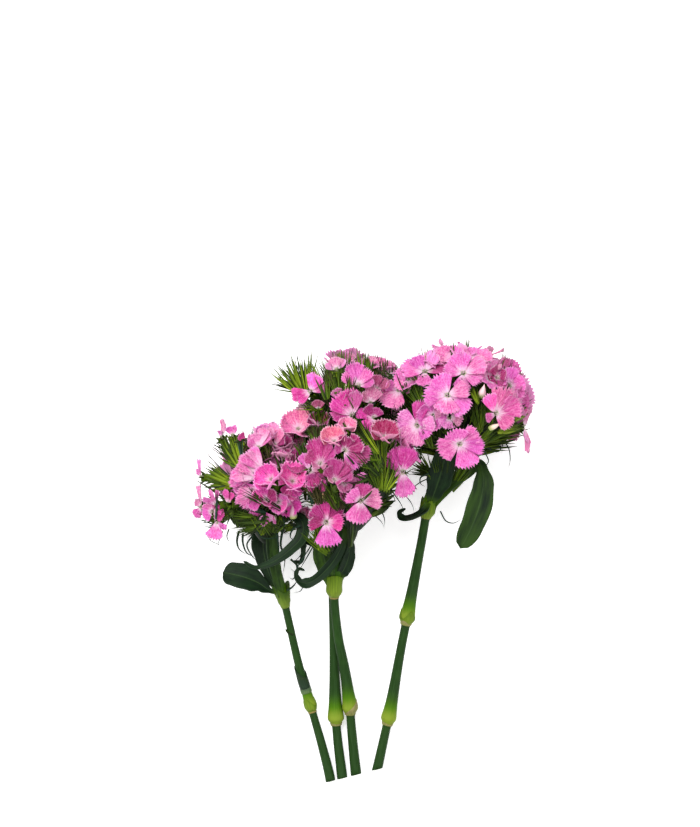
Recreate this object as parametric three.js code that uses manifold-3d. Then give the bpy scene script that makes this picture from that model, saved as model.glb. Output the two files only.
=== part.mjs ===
// Sweet william (Dianthus barbatus): four cut flowering stems lying together on a surface.
//
// Units are millimetres. +Y runs up the stalks to the flower heads, +X to the right, +Z up.
// The origin is the middle of the plant's outline, on the surface it lies on.
//
// Each stem is a jointed stalk with opposite leaves at its top joint. It carries a dense, domed
// head: a green body of tubular calyces and awl-shaped bracts, and pink five-petalled blooms.
import * as THREE from "three";
import { mergeVertices } from "three/addons/utils/BufferGeometryUtils.js";
import Module from "manifold-3d";

const wasm = await Module();
wasm.setup();

// ---------------------------------------------------------------- driving dimensions

const CLEARANCE = 0.3; // left between neighbouring solids
const SCRAP = 15; // loose bits of petal smaller than this, in cubic millimetres, are dropped
const DEGREE = Math.PI / 180;
const GOLDEN_ANGLE = Math.PI * (3 - Math.sqrt(5));

const STALK = {
  sides: 8,
  flare: 1.6, // extra radius just above a joint, fading upwards
  flareFade: 20,
  foot: 0.25, // share of the flare below the lowest joint
  swelling: 0.5, // extra radius of the joint itself
  swellingSpan: 3.2,
  ringStep: 15,
  jointRings: [-3.4, -1.2, 1.6, 5.5], // rings around each joint, along the stalk
};
// One slanting cut ends all four stalks.
const CUT = { through: new THREE.Vector2(-18.4, -112.2), slope: 14.3 * DEGREE };

const LEAF = { thickness: 0.8, fold: 0.22 };
const PETAL = {
  thickness: 0.7,
  count: 5,
  valley: 0.24, // how near the centre the petals part, as a share of the radius
  halfWidth: 31.5 * DEGREE,
  shoulder: 0.9, // reach of a petal's corner, as a share of its middle
  notch: 0.86, // reach of the notches between its teeth
  flatCup: 18, // petals that rise less than this, in degrees, show one tooth more
};
const CALYX = { sides: 4, hiddenSides: 3, mouth: 2.1, waist: 2.2, foot: 1.2, length: 14 };
const BRACT = { tries: 40, root: 0.46, tip: 1.12, radius: 1.1, lowestAxis: -0.35 };
const TUFT = { count: 9, radius: 1.2, foot: 1.3, mouth: 3.2, sunk: 2, fan: 0.55, room: 17 };
const FRILL = { count: 4, length: 22, radius: 1, steps: 2, droop: 0.75 }; // threads under a head
const BUD = { radius: 2.4, length: 9, stalk: 0.9, bend: 16 };
const HEART = -0.62; // where a head's calyces meet, along the dome's axis
// Half the section of the green heart of a head, as shares of the dome.
const CORE = {
  sides: 8,
  profile: [[0, -1.02], [0.14, -0.96], [0.4, -0.4], [0.5, 0.05], [0.36, 0.4], [0, 0.52]],
};
// Blooms on the back of a head stand on a spiral, as far as there is room.
const HIDDEN_BLOOM = {
  depth: 0.92,
  radius: 12,
  cup: 14,
  cupSpread: 18,
  spacing: 18.5,
  tries: 46,
  lowestAxis: -0.2,
  front: 0.12,
};
const PRESSED_BLOOM = { radius: 11.5, spin: 10 }; // lies flat under a head

// ---------------------------------------------------------------- the plant's layout

// The middle of the outline in the layout's numbers. The plant is moved so that it is the origin.
const MIDDLE = { x: -0.16, y: 0.81 };

// Stalks run from below the cut to the middle of the head. Joints are heights (Y).
const STEMS = [
  {
    name: "left",
    slim: 1.85,
    joints: [-73, -19],
    route: [
      [-14.8, -122, 2], [-16.4, -110, 2], [-20.6, -93, 2.2], [-26, -74, 4], [-31.5, -55, 8],
      [-36.5, -33, 14], [-40, -17, 19], [-45, 4, 24], [-51, 26, 28],
    ],
  },
  {
    name: "rear",
    slim: 2.1,
    joints: [-79.5, 2],
    route: [
      [-8.6, -122, 2.3], [-10.4, -108, 2.3], [-12.8, -88, 2.6], [-13.6, -76, 4], [-14, -60, 6.5],
      [-14.4, -40, 9.5], [-15, -10, 13.5], [-14.5, 20, 18], [-12.5, 48, 23], [-10.5, 72, 26],
    ],
  },
  {
    name: "middle",
    slim: 2.1,
    joints: [-74, -14],
    route: [
      [-1.4, -122, 2], [-3.4, -106, 2], [-5.4, -86, 3.2], [-6.6, -71, 6.5], [-9.4, -52, 13],
      [-12, -39, 18], [-14.2, -16, 26.5], [-13.2, 0, 32], [-10, 20, 40], [-6, 38, 46],
    ],
  },
  {
    name: "right",
    slim: 2.1,
    joints: [-79.5, -28, 26],
    route: [
      [3.6, -122, 2.2], [7.2, -107, 2.2], [11.4, -88, 2.6], [14, -76, 4.2], [19, -47, 10],
      [23.2, -25, 15], [29.5, 9, 22], [33, 28, 26], [40, 50, 30], [46, 68, 32],
    ],
  },
];

// The head of each stem: its dome, and what stands on the dome's front by hand.
// blooms: [x, y, turned right, tilted up, radius, cup, spin of the petals], angles in degrees
// buds: [x, y, turned right, tilted up]; tufts: the same and their length
// pressed: [x, y] of blooms that lie flat on the surface underneath
const HEADS = [
  {
    dome: { centre: [-55, 40, 29], radii: [28.5, 29, 29] },
    blooms: [
      [-47, 63.5, -10, 45, 11.5, 20, 60], [-56, 48, -35, 25, 12.5, 15, 20],
      [-47, 44, -5, 10, 11, 42, 70], [-35, 41, 5, 5, 12, 42, 30], [-58, 35, -25, -5, 12, 20, 50],
      [-44.5, 32, 0, -15, 12, 30, 10], [-52, 25, -10, -40, 10, 15, 30],
      [-72.5, 22.5, -45, -35, 11, 25, 100], [-82, 37, -84, 0, 11, 6, 0],
      [-76, 33, -60, -10, 9, 30, 0], [-38, 54, 5, 30, 11, 25, 0],
      [-71, 66, -40, 40, 5.5, 55, 0], [-65, 66, -30, 55, 5, 55, 0],
    ],
    buds: [[-35, 26, 10, -20], [-31, 25, 20, -15]],
    tufts: [[-64, 54, -45, 45, 21], [-68, 42, -66, 10, 19], [-77, 27, -60, -20, 15]],
    pressed: [[-53, 37]],
  },
  {
    dome: { centre: [-10, 79, 27], radii: [27, 24, 27] },
    blooms: [
      [-8.5, 76, -3, 45, 13, 35, 90], [-25, 86, -25, 15, 9.5, 25, 55], [-5, 97, 0, 50, 12, 15, 80],
      [-15, 100, -10, 65, 9, 30, 0], [4, 102, 8, 70, 9, 30, 40], [6, 91, 10, 35, 11, 20, 20],
      [13, 98.5, 20, 60, 10, 20, 60], [-32, 69, -15, 40, 12, 42, 90], [-21, 73, -20, 20, 9, 40, 0],
    ],
    buds: [[-12, 86, -10, 30], [3, 84, 5, 20]],
    tufts: [[-32, 90, -55, 45, 22]],
    pressed: [[-12, 82]],
  },
  {
    dome: { centre: [-4, 46, 48], radii: [29, 30, 28] },
    blooms: [
      [-17.5, 21.5, -4, -12, 12, 10, 75], [-1.5, 32, 18, -22, 11, 10, 130],
      [19.8, 46.5, 28, -18, 12.5, 15, 90], [12, 63, 15, 50, 10, 45, 50], [-5, 55, 5, 20, 13, 35, 20],
      [-21.5, 56, -15, 15, 12, 30, 90], [-11, 46.5, -5, 5, 11, 35, 60],
      [-23, 43, -20, -10, 11, 20, 20], [-7, 40, 5, -40, 10, 15, 45],
      [-14.5, 64.5, -8, 40, 10, 45, 30], [-9, 70, 0, 50, 9, 40, 70], [3.5, 71, 15, 35, 11, 30, 10],
    ],
    buds: [],
    tufts: [[10, 40, 20, 55, 18]],
    pressed: [],
  },
  {
    dome: { centre: [48, 76, 33], radii: [36, 31, 33] },
    blooms: [
      [48, 60, 2, -14, 12.2, 6, 22], [44, 84, -12, 8, 13, 8, 50], [28, 69, -22, -8, 12, 8, 40],
      [66.5, 76, 15, -20, 14, 32, 60], [52, 95, 8, 38, 12.5, 10, 70], [32, 98, -25, 50, 12, 10, 10],
      [19.5, 87, -50, 10, 12, 20, 30], [50, 105, 0, 70, 12, 15, 0], [66, 104, 35, 65, 11, 30, 0],
      [41, 107, -15, 75, 9, 45, 20], [66, 94, 30, 40, 11, 15, 10], [76, 88, 60, 25, 11, 15, 40],
      [83.5, 67.5, 84, -5, 11.5, 5, 0], [44, 73, -10, -35, 11, 15, 80],
    ],
    buds: [[60.5, 87, 15, 10], [67, 70, 20, -10]],
    tufts: [],
    pressed: [[42, 78], [60, 68]],
  },
];

// Leaves: the spine from the foot to the tip, the way the upper face looks, and the widths at
// even steps from the foot to the tip.
const LEAVES = [
  {
    stem: "left", name: "broad", face: [0.1, 0.3, 1], widths: [2.5, 3, 7, 12, 13, 12, 4],
    spine: [
      [-42, -15.5, 21], [-47, -14, 23], [-52, -10.5, 25], [-59, -7.5, 26.5], [-65, -6, 26],
      [-70, -5, 25],
    ],
  },
  {
    stem: "left", name: "upright", face: [-0.5, 0, 1], widths: [3, 6, 10, 12, 11, 9],
    spine: [[-42, -15, 20], [-46.5, -7, 20.5], [-49, 2, 20], [-50, 9, 19], [-49, 19, 14]],
  },
  {
    stem: "left", name: "folded", face: [0.25, 0, 1], widths: [3, 7, 7.5, 7, 6, 4],
    spine: [[-41, -16, 23], [-43, -6, 26.5], [-44.5, 5, 29], [-45, 18, 30]],
  },
  {
    stem: "left", name: "arching", face: [-0.3, 0.4, 1],
    widths: [2.5, 4.5, 6.5, 7, 6, 4.6, 3.2, 2, 1],
    spine: [
      [-43.5, 26, 30], [-36.5, 25, 36], [-30, 20.5, 39.5], [-30.5, 13, 41], [-36, 7, 40.8],
      [-42.5, 2, 40], [-48.5, -1, 39], [-54, -2, 38], [-59.5, 1, 36.5],
    ],
  },
  {
    stem: "rear", name: "upright", face: [0.3, 0, 1], widths: [4, 7, 9, 9, 7.5, 4],
    spine: [[-13, 4, 15], [-4, 10, 17], [3, 20, 18], [4, 34, 18]],
  },
  {
    stem: "rear", name: "drooping", face: [-0.3, 0.4, 1], widths: [4, 7, 9, 8.5, 7, 2],
    spine: [[-18, 3, 14], [-26, 8, 13], [-34, 4, 8], [-38, -4, 4]],
  },
  {
    stem: "middle", name: "front", face: [-0.2, -0.2, 1], widths: [3.5, 8, 10.5, 10, 8.5, 5],
    spine: [[-16.5, -11, 29], [-18.5, -1, 35], [-20, 8, 39], [-19.5, 20, 42]],
  },
  {
    stem: "middle", name: "side", face: [0.5, 0, 1], widths: [4, 7, 9, 9, 7.5, 4],
    spine: [[-12, -9, 28], [-10, 0, 30], [-9, 8, 31], [-8, 15, 30]],
  },
  {
    stem: "middle", name: "hooked", face: [0.4, 0.3, 0.9],
    widths: [3, 3.8, 5, 5.2, 4.6, 5.6, 3.2, 2.2, 1.5, 1],
    spine: [
      [-8.5, 24, 41], [-9, 13, 43.5], [-12.5, 4.5, 43], [-18, -3, 41.5], [-24, -8.3, 39.5],
      [-28.5, -10, 38.5], [-32, -8.7, 37.8], [-33.2, -5, 37], [-32, -2.8, 36.5], [-29, -3.6, 36],
    ],
  },
  {
    stem: "middle", name: "outer", face: [0.6, 0, 1], widths: [3.5, 7, 8, 7.5, 6, 2],
    spine: [[-12, -7, 30], [-9, -2.5, 32], [-6.8, 4, 34], [-5.8, 11.5, 35]],
  },
  {
    stem: "right", name: "upright", face: [0, -0.1, 1], widths: [3, 8, 12, 12.5, 11, 8],
    spine: [[34, 29.5, 29], [37, 38, 33.5], [39.5, 46, 37], [42, 56, 39]],
  },
  {
    stem: "right", name: "hanging", face: [0.2, 0.3, 1],
    widths: [3, 5, 5.5, 5.5, 6, 10.5, 13, 11.5, 2],
    spine: [
      [36, 29, 27], [44, 39, 32], [52, 45, 36], [58, 49.5, 39.5], [60.3, 43, 42.5],
      [59, 32, 42.5], [55, 19.5, 41], [49, 7.5, 38],
    ],
  },
  {
    stem: "right", name: "curled", face: [0.1, 0.9, 0.6], widths: [3, 4.5, 5.5, 5, 3.5, 1.5],
    spine: [
      [33, 30, 31], [30.5, 26, 33], [25, 22.8, 33], [20, 22.5, 32], [18.5, 25, 31], [21.5, 27.2, 30],
    ],
  },
];

// ---------------------------------------------------------------- small tools

// A repeatable fraction from 0 to 1 for trait k of item i.
function fraction(i, k) {
  const s = Math.sin(i * 12.9898 + k * 78.233) * 43758.5453;
  return s - Math.floor(s);
}

const vector = (p) => new THREE.Vector3(...p);

const spline = (points) => new THREE.CatmullRomCurve3(points.map(vector), false, "centripetal");

// The unit vector that looks `turn` degrees to the right of +Z and `tilt` degrees up towards +Y.
function lookAlong(turn, tilt) {
  const [t, p] = [turn * DEGREE, tilt * DEGREE];
  return new THREE.Vector3(Math.sin(t) * Math.cos(p), Math.sin(p), Math.cos(t) * Math.cos(p));
}

// Two unit vectors across a way, right-handed with it: side x lift = way.
function across(way) {
  const steep = Math.abs(way.y) > 0.95;
  const up = steep ? new THREE.Vector3(0, 0, -1) : new THREE.Vector3(0, 1, 0);
  const side = new THREE.Vector3().crossVectors(up, way).normalize();
  return [side, new THREE.Vector3().crossVectors(way, side)];
}

// The unit vector at an angle round a way.
function spoke(way, angle) {
  const [side, lift] = across(way);
  return side.multiplyScalar(Math.cos(angle)).addScaledVector(lift, Math.sin(angle));
}

// A closed manifold solid of a three.js geometry whose points are first moved by `place`.
function solidOf(geometry, place) {
  const bare = geometry.clone();
  bare.deleteAttribute("normal");
  bare.deleteAttribute("uv");
  const merged = mergeVertices(bare, 1e-4);
  const position = merged.getAttribute("position");
  const point = new THREE.Vector3();
  for (let i = 0; i < position.count; i++) {
    const moved = place(point.fromBufferAttribute(position, i));
    position.setXYZ(i, moved.x, moved.y, moved.z);
  }
  const triVerts = new Uint32Array(merged.index.array);
  return new wasm.Manifold(
    new wasm.Mesh({ numProp: 3, vertProperties: position.array, triVerts }),
  );
}

const fuse = (solids) => wasm.Manifold.union(solids);
const largest = (solid) => solid.decompose().reduce((a, b) => (a.volume() > b.volume() ? a : b));
const aboveSurface = (solid) => solid.trimByPlane([0, 0, 1], 0);

// Bends a unit cylinder or cone that stands on Y along a curve. `radiusAt` gives its radius from
// 0 at the start to 1 at the end.
function alongCurve(curve, unit, radiusAt) {
  return solidOf(unit, (p) => {
    const t = p.y + 0.5;
    const [side, lift] = across(curve.getTangent(t));
    const r = radiusAt(t);
    return curve.getPoint(t).addScaledVector(side, -p.x * r).addScaledVector(lift, p.z * r);
  });
}

// ---------------------------------------------------------------- stalks

// Radius of a stalk at height y: swollen at each joint, thick above it and slim below the next.
function stalkRadius(stem, y) {
  const below = stem.joints.filter((j) => j <= y).pop();
  const flare = below === undefined ? STALK.foot : Math.exp(-(y - below) / STALK.flareFade);
  const swellings = stem.joints.map((j) => Math.exp(-(((y - j) / STALK.swellingSpan) ** 2)));
  const swell = swellings.reduce((sum, s) => sum + s, 0);
  return stem.slim + STALK.flare * flare + STALK.swelling * swell;
}

// The heights of a stalk's rings: even steps, and closer ones round each joint.
function ringHeights(stem) {
  const first = stem.route[0][1];
  const last = stem.route[stem.route.length - 1][1];
  const even = [];
  for (let y = first; y < last; y += STALK.ringStep) even.push(y);
  const clear = even.filter((y) => stem.joints.every((j) => y < j - 8 || y > j + 11));
  const close = stem.joints.flatMap((j) => STALK.jointRings.map((d) => j + d));
  return [...clear, ...close, last].sort((a, b) => a - b);
}

// The curve's parameter at a height, by halving: the routes only climb.
function parameterAt(curve, y) {
  let [low, high] = [0, 1];
  for (let i = 0; i < 24; i++) {
    const middle = (low + high) / 2;
    if (curve.getPoint(middle).y < y) low = middle;
    else high = middle;
  }
  return low;
}

function stalk(stem, grow) {
  const heights = ringHeights(stem);
  const curve = spline(stem.route);
  const unit = new THREE.CylinderGeometry(1, 1, 1, STALK.sides, heights.length - 1);
  const whole = solidOf(unit.rotateY(Math.PI / STALK.sides), (p) => {
    const y = heights[Math.round((p.y + 0.5) * (heights.length - 1))];
    const t = parameterAt(curve, y);
    const way = curve.getTangent(t);
    const right = new THREE.Vector3().crossVectors(way, new THREE.Vector3(0, 0, 1)).normalize();
    const up = new THREE.Vector3().crossVectors(right, way);
    const r = stalkRadius(stem, y) + grow;
    return curve.getPoint(t).addScaledVector(right, p.x * r).addScaledVector(up, p.z * r);
  });
  const normal = [-Math.sin(CUT.slope), Math.cos(CUT.slope), 0];
  const offset = normal[0] * CUT.through.x + normal[1] * CUT.through.y;
  return aboveSurface(whole.trimByPlane(normal, offset));
}

// ---------------------------------------------------------------- leaves

// A leaf: a thin blade along its spine, folded a little along the midrib.
function leaf({ spine, face, widths }, grow) {
  const curve = spline(spine);
  const looks = vector(face).normalize();
  const steps = widths.length - 1;
  return solidOf(new THREE.BoxGeometry(1, 1, 1, 2, steps, 1), (p) => {
    const t = p.y + 0.5;
    const way = curve.getTangent(t);
    const side = new THREE.Vector3().crossVectors(way, looks).normalize();
    const normal = new THREE.Vector3().crossVectors(side, way);
    const half = widths[Math.round(t * steps)] / 2 + grow;
    const raised = p.z * (LEAF.thickness + 2 * grow) + LEAF.fold * Math.abs(2 * p.x) * half;
    return curve.getPoint(t).addScaledVector(side, 2 * p.x * half).addScaledVector(normal, raised);
  });
}

// ---------------------------------------------------------------- blooms

// The toothed outline of the petals: [angle, share of the radius] for each point round the rim.
function bloomOutline(teeth) {
  const points = [];
  for (let petal = 0; petal < PETAL.count; petal++) {
    const middle = (petal * 2 * Math.PI) / PETAL.count;
    points.push([middle - Math.PI / PETAL.count, PETAL.valley]);
    for (let i = 0; i <= 2 * (teeth - 1); i++) {
      const s = i / (teeth - 1) - 1; // -1 to 1 across the petal's edge
      const tip = 1 - (1 - PETAL.shoulder) * s * s;
      points.push([middle + s * PETAL.halfWidth, i % 2 ? PETAL.notch * tip : tip]);
    }
  }
  return points;
}

// How thick a bloom's blade is along the way it faces, so that it keeps its thickness when cupped.
const bladeDepth = (cup) => PETAL.thickness / Math.cos(cup * DEGREE);

// A corolla as one thin blade: a disc whose rim follows the outline and rises by the cup angle.
function corolla({ centre, facing, radius, cup, spin }, grow) {
  const outline = bloomOutline(cup < PETAL.flatCup ? 3 : 2);
  const depth = bladeDepth(cup) + 2 * grow;
  return solidOf(new THREE.CylinderGeometry(1, 1, 1, outline.length), (p) => {
    const onRim = Math.hypot(p.x, p.z) > 0.5;
    const place = Math.round((Math.atan2(p.z, p.x) / (2 * Math.PI)) * outline.length);
    const [angle, share] = outline[(place + outline.length) % outline.length];
    const reach = onRim ? radius * share + grow : 0;
    const bend = cup * DEGREE * (0.45 + 0.55 * share);
    const height = reach * Math.sin(bend) + (p.y - 0.5) * depth + grow;
    const out = spoke(facing, spin * DEGREE - angle);
    return out.multiplyScalar(reach * Math.cos(bend)).add(centre).addScaledVector(facing, height);
  });
}

// ---------------------------------------------------------------- domes

// The point of a dome's front that lies over (x, y).
function onDome({ centre, radii }, x, y) {
  const flat = ((x - centre[0]) / radii[0]) ** 2 + ((y - centre[1]) / radii[1]) ** 2;
  return new THREE.Vector3(x, y, centre[2] + radii[2] * Math.sqrt(Math.max(0.02, 1 - flat)));
}

// The point of a dome at a height along its axis (-1 to 1) and an angle round it.
function domePoint({ centre, radii }, axis, angle, share) {
  const ring = Math.sqrt(1 - axis * axis);
  const way = new THREE.Vector3(ring * Math.cos(angle), axis, ring * Math.sin(angle));
  return way.multiply(vector(radii)).multiplyScalar(share).add(vector(centre));
}

// The way a dome's surface faces at one of its points.
function domeFacing({ centre, radii }, point) {
  const size = vector(radii);
  return point.clone().sub(vector(centre)).divide(size).divide(size).normalize();
}

// How deep a point lies in a dome: under 1 inside, over 1 outside.
function depthIn({ centre, radii }, point) {
  return point.clone().sub(vector(centre)).divide(vector(radii)).length();
}

// The point inside a head where its calyces meet.
function heartOf({ centre, radii }) {
  return new THREE.Vector3(centre[0], centre[1] + HEART * radii[1], centre[2]);
}

// ---------------------------------------------------------------- the green of a head

// A calyx tube that bends from the heart of the head to just under its bloom.
function calyx({ centre, facing, cup, hidden }, heart, grow) {
  const under = bladeDepth(cup) + CLEARANCE - grow;
  const mouth = centre.clone().addScaledVector(facing, -under);
  const middle = centre.clone().addScaledVector(facing, -CALYX.length);
  const curve = new THREE.QuadraticBezierCurve3(heart, middle, mouth);
  const unit = new THREE.CylinderGeometry(1, 1, 1, hidden ? CALYX.hiddenSides : CALYX.sides, 2);
  const radii = [CALYX.foot, CALYX.waist, CALYX.mouth];
  return alongCurve(curve, unit, (t) => radii[Math.round(2 * t)] + grow);
}

// A three-sided spike from `root` to `tip`.
function spike(root, tip, radius, grow) {
  const unit = new THREE.ConeGeometry(1, 1, 3);
  return alongCurve(new THREE.LineCurve3(root, tip), unit, () => radius + grow);
}

// The bracts of a head: spikes on a spiral, kept only where they pass between the petals.
function bractsOf(head, petals, grow) {
  const heart = heartOf(head.dome);
  const kept = [];
  for (let i = 0; i < BRACT.tries; i++) {
    const axis = 1 - (1 - BRACT.lowestAxis) * ((i + 0.5) / BRACT.tries);
    const tip = domePoint(head.dome, axis, i * GOLDEN_ANGLE, BRACT.tip);
    const root = heart.clone().lerp(tip, BRACT.root);
    const shared = spike(root, tip, BRACT.radius, 0).intersect(petals);
    if (shared.volume() < 0.01) kept.push(spike(root, tip, BRACT.radius, grow));
  }
  return kept;
}

// A brush of unopened bracts on a flared stalk that stands out of the dome.
function tuft([x, y, turn, tilt, length], dome, grow) {
  const facing = lookAlong(turn, tilt);
  const base = onDome(dome, x, y).addScaledVector(facing, -0.25 * length);
  const blades = Array.from({ length: TUFT.count }, (_, i) => {
    const share = Math.sqrt((i + 0.3) / TUFT.count);
    const out = spoke(facing, i * GOLDEN_ANGLE);
    const root = base.clone().addScaledVector(facing, -TUFT.sunk);
    root.addScaledVector(out, share * (TUFT.mouth - 0.9));
    const way = facing.clone().addScaledVector(out, TUFT.fan * share).normalize();
    const tip = root.clone().addScaledVector(way, length * (0.8 + 0.25 * fraction(i, 3)));
    return spike(root, tip, TUFT.radius, grow);
  });
  const radii = [TUFT.foot, TUFT.foot, TUFT.mouth];
  const unit = new THREE.CylinderGeometry(1, 1, 1, 6, 2);
  const path = new THREE.LineCurve3(heartOf(dome), base);
  return [alongCurve(path, unit, (t) => radii[Math.round(2 * t)] + grow), ...blades];
}

// A closed bud on its own calyx.
function bud([x, y, turn, tilt], dome, grow) {
  const facing = lookAlong(turn, tilt);
  const tip = onDome(dome, x, y).addScaledVector(facing, 0.5 * BUD.length);
  const middle = tip.clone().addScaledVector(facing, -BUD.bend);
  const curve = new THREE.QuadraticBezierCurve3(heartOf(dome), middle, tip);
  const unit = new THREE.CylinderGeometry(1, 1, 1, CALYX.sides, 4);
  const radii = [BUD.stalk, BUD.stalk, BUD.stalk, BUD.radius, 0.5];
  return alongCurve(curve, unit, (t) => radii[Math.round(4 * t)] + grow);
}

// Thread-like bracts that hang and curl under the head, round the top of the stalk.
function frill(dome, seed, grow) {
  const root = heartOf(dome);
  root.y -= 0.1 * dome.radii[1];
  return Array.from({ length: FRILL.count }, (_, i) => {
    const turn = (2 * Math.PI * (i + 0.5 * fraction(seed, i))) / FRILL.count;
    const lift = Math.abs(Math.sin(turn)) - 0.25;
    const out = new THREE.Vector3(Math.cos(turn), -0.35, lift).normalize();
    const length = FRILL.length * (0.8 + 0.4 * fraction(seed, i + 5));
    const elbow = root.clone().addScaledVector(out, 0.7 * length);
    const tip = root.clone().addScaledVector(out, length);
    tip.y -= FRILL.droop * length * (0.5 + 0.5 * fraction(seed, i + 2));
    const curve = new THREE.QuadraticBezierCurve3(root, elbow, tip);
    const unit = new THREE.ConeGeometry(1, 1, 3, FRILL.steps);
    return alongCurve(curve, unit, () => FRILL.radius + grow);
  });
}

// ---------------------------------------------------------------- where blooms stand

// A bloom for the back of a head at step i of the spiral, or null where there is no room for it.
function hiddenBloom(head, index, i, placed) {
  const axis = 1 - (1 - HIDDEN_BLOOM.lowestAxis) * ((i + 0.5) / HIDDEN_BLOOM.tries);
  const centre = domePoint(head.dome, axis, i * GOLDEN_ANGLE, HIDDEN_BLOOM.depth);
  const front = head.dome.centre[2] + HIDDEN_BLOOM.front * head.dome.radii[2];
  const inFront = centre.z > front;
  const low = centre.z < 0.4 * HIDDEN_BLOOM.radius;
  const crowded = placed.some((b) => b.centre.distanceTo(centre) < HIDDEN_BLOOM.spacing);
  const covered = HEADS.some((o) => o !== head && depthIn(o.dome, centre) < 1.1);
  const inTuft = head.tufts.some(([x, y]) => Math.hypot(x - centre.x, y - centre.y) < TUFT.room);
  if (inFront || low || crowded || covered || inTuft) return null;
  const facing = domeFacing(head.dome, centre);
  const cup = HIDDEN_BLOOM.cup + HIDDEN_BLOOM.cupSpread * fraction(i, index);
  const spin = 360 * fraction(i, 4);
  return { centre, facing, radius: HIDDEN_BLOOM.radius, cup, spin, hidden: true };
}

// The blooms of a head: those on its front, those pressed on the surface, and the hidden ones.
function bloomsOf(head, index) {
  const front = head.blooms.map(([x, y, turn, tilt, radius, cup, spin]) => ({
    centre: onDome(head.dome, x, y),
    facing: lookAlong(turn, tilt),
    radius,
    cup,
    spin,
  }));
  const pressed = head.pressed.map(([x, y]) => ({
    centre: new THREE.Vector3(x, y, 0),
    facing: new THREE.Vector3(0, 0, -1),
    radius: PRESSED_BLOOM.radius,
    cup: 0,
    spin: PRESSED_BLOOM.spin * x,
  }));
  const placed = [...front, ...pressed];
  for (let i = 0; i < HIDDEN_BLOOM.tries; i++) {
    const bloom = hiddenBloom(head, index, i, placed);
    if (bloom) placed.push(bloom);
  }
  return placed;
}

// ---------------------------------------------------------------- assembly

const blooms = HEADS.map(bloomsOf);

// The petals of a head, fused where they touch.
const petalsOf = (index, grow) => fuse(blooms[index].map((bloom) => corolla(bloom, grow)));

// The green body of a head before its neighbours are cut from it.
function greenery(head, index, petals, grow) {
  const heart = heartOf(head.dome);
  const profile = CORE.profile.map(([x, y]) => new THREE.Vector2(x, y));
  const size = vector(head.dome.radii).addScalar(2 * grow);
  const middle = vector(head.dome.centre);
  const core = new THREE.LatheGeometry(profile, CORE.sides);
  return fuse([
    solidOf(core, (p) => p.multiply(size).add(middle)),
    ...blooms[index].map((bloom) => calyx(bloom, heart, grow)),
    ...bractsOf(head, petals, grow),
    ...head.tufts.flatMap((t) => tuft(t, head.dome, grow)),
    ...head.buds.map((b) => bud(b, head.dome, grow)),
    ...frill(head.dome, index, grow),
  ]);
}

const MATERIALS = {
  stalk: new THREE.MeshStandardMaterial({ color: 0x4c7a3a, roughness: 0.6, metalness: 0 }),
  leaf: new THREE.MeshStandardMaterial({ color: 0x21392a, roughness: 0.65, metalness: 0 }),
  bract: new THREE.MeshStandardMaterial({ color: 0x4f6f1e, roughness: 0.7, metalness: 0 }),
  petal: new THREE.MeshStandardMaterial({ color: 0xe870be, roughness: 0.75, metalness: 0 }),
};

const plant = new THREE.Group();
const taken = []; // grown copies of what stands already, for later pieces to stay clear of

function addNode(name, solid, material) {
  const { vertProperties, numProp, triVerts } = solid.getMesh();
  const count = vertProperties.length / numProp;
  const points = new Float32Array(3 * count);
  for (let i = 0; i < count; i++) {
    points.set(vertProperties.subarray(i * numProp, i * numProp + 3), 3 * i);
  }
  const geometry = new THREE.BufferGeometry()
    .setAttribute("position", new THREE.BufferAttribute(points, 3))
    .setIndex(new THREE.BufferAttribute(triVerts, 1));
  const mesh = new THREE.Mesh(geometry, material);
  mesh.name = name;
  plant.add(mesh);
}

const clearOf = (solid) => (taken.length ? solid.subtract(fuse(taken)) : solid);

for (const stem of STEMS) {
  addNode(`stalk_${stem.name}`, largest(clearOf(stalk(stem, 0))), MATERIALS.stalk);
  taken.push(stalk(stem, CLEARANCE));
}
for (const blade of LEAVES) {
  const solid = largest(aboveSurface(clearOf(leaf(blade, 0))));
  addNode(`leaf_${blade.stem}_${blade.name}`, solid, MATERIALS.leaf);
  taken.push(leaf(blade, CLEARANCE));
}
HEADS.forEach((_, index) => {
  const petals = aboveSurface(clearOf(petalsOf(index, 0)));
  const bodies = petals.decompose().filter((body) => body.volume() > SCRAP);
  bodies.sort((a, b) => b.volume() - a.volume());
  const stem = STEMS[index].name;
  bodies.forEach((body, i) => addNode(`blooms_${stem}_${i + 1}`, body, MATERIALS.petal));
  taken.push(petalsOf(index, CLEARANCE));
});
const allPetals = fuse(HEADS.map((_, index) => petalsOf(index, CLEARANCE)));
HEADS.forEach((head, index) => {
  const solid = aboveSurface(clearOf(greenery(head, index, allPetals, 0)));
  addNode(`calyces_${STEMS[index].name}`, largest(solid), MATERIALS.bract);
  taken.push(greenery(head, index, allPetals, CLEARANCE));
});
plant.position.set(-MIDDLE.x, -MIDDLE.y, 0);

export default plant;
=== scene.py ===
"""Sweet william (Dianthus barbatus): four cut flowering stems that lie together.

The layout tables are in millimetres, with +Y up the stalks, +X to the right and +Z up. Every mesh
is made in metres, in the same place as the solids that it stands for.
"""

import logging
import math
import random
from collections.abc import Callable, Iterable, Iterator, Sequence
from dataclasses import dataclass, field
from enum import Enum
from typing import ClassVar

import bmesh
import bpy
from mathutils import Matrix, Vector
from mathutils.bvhtree import BVHTree


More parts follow.
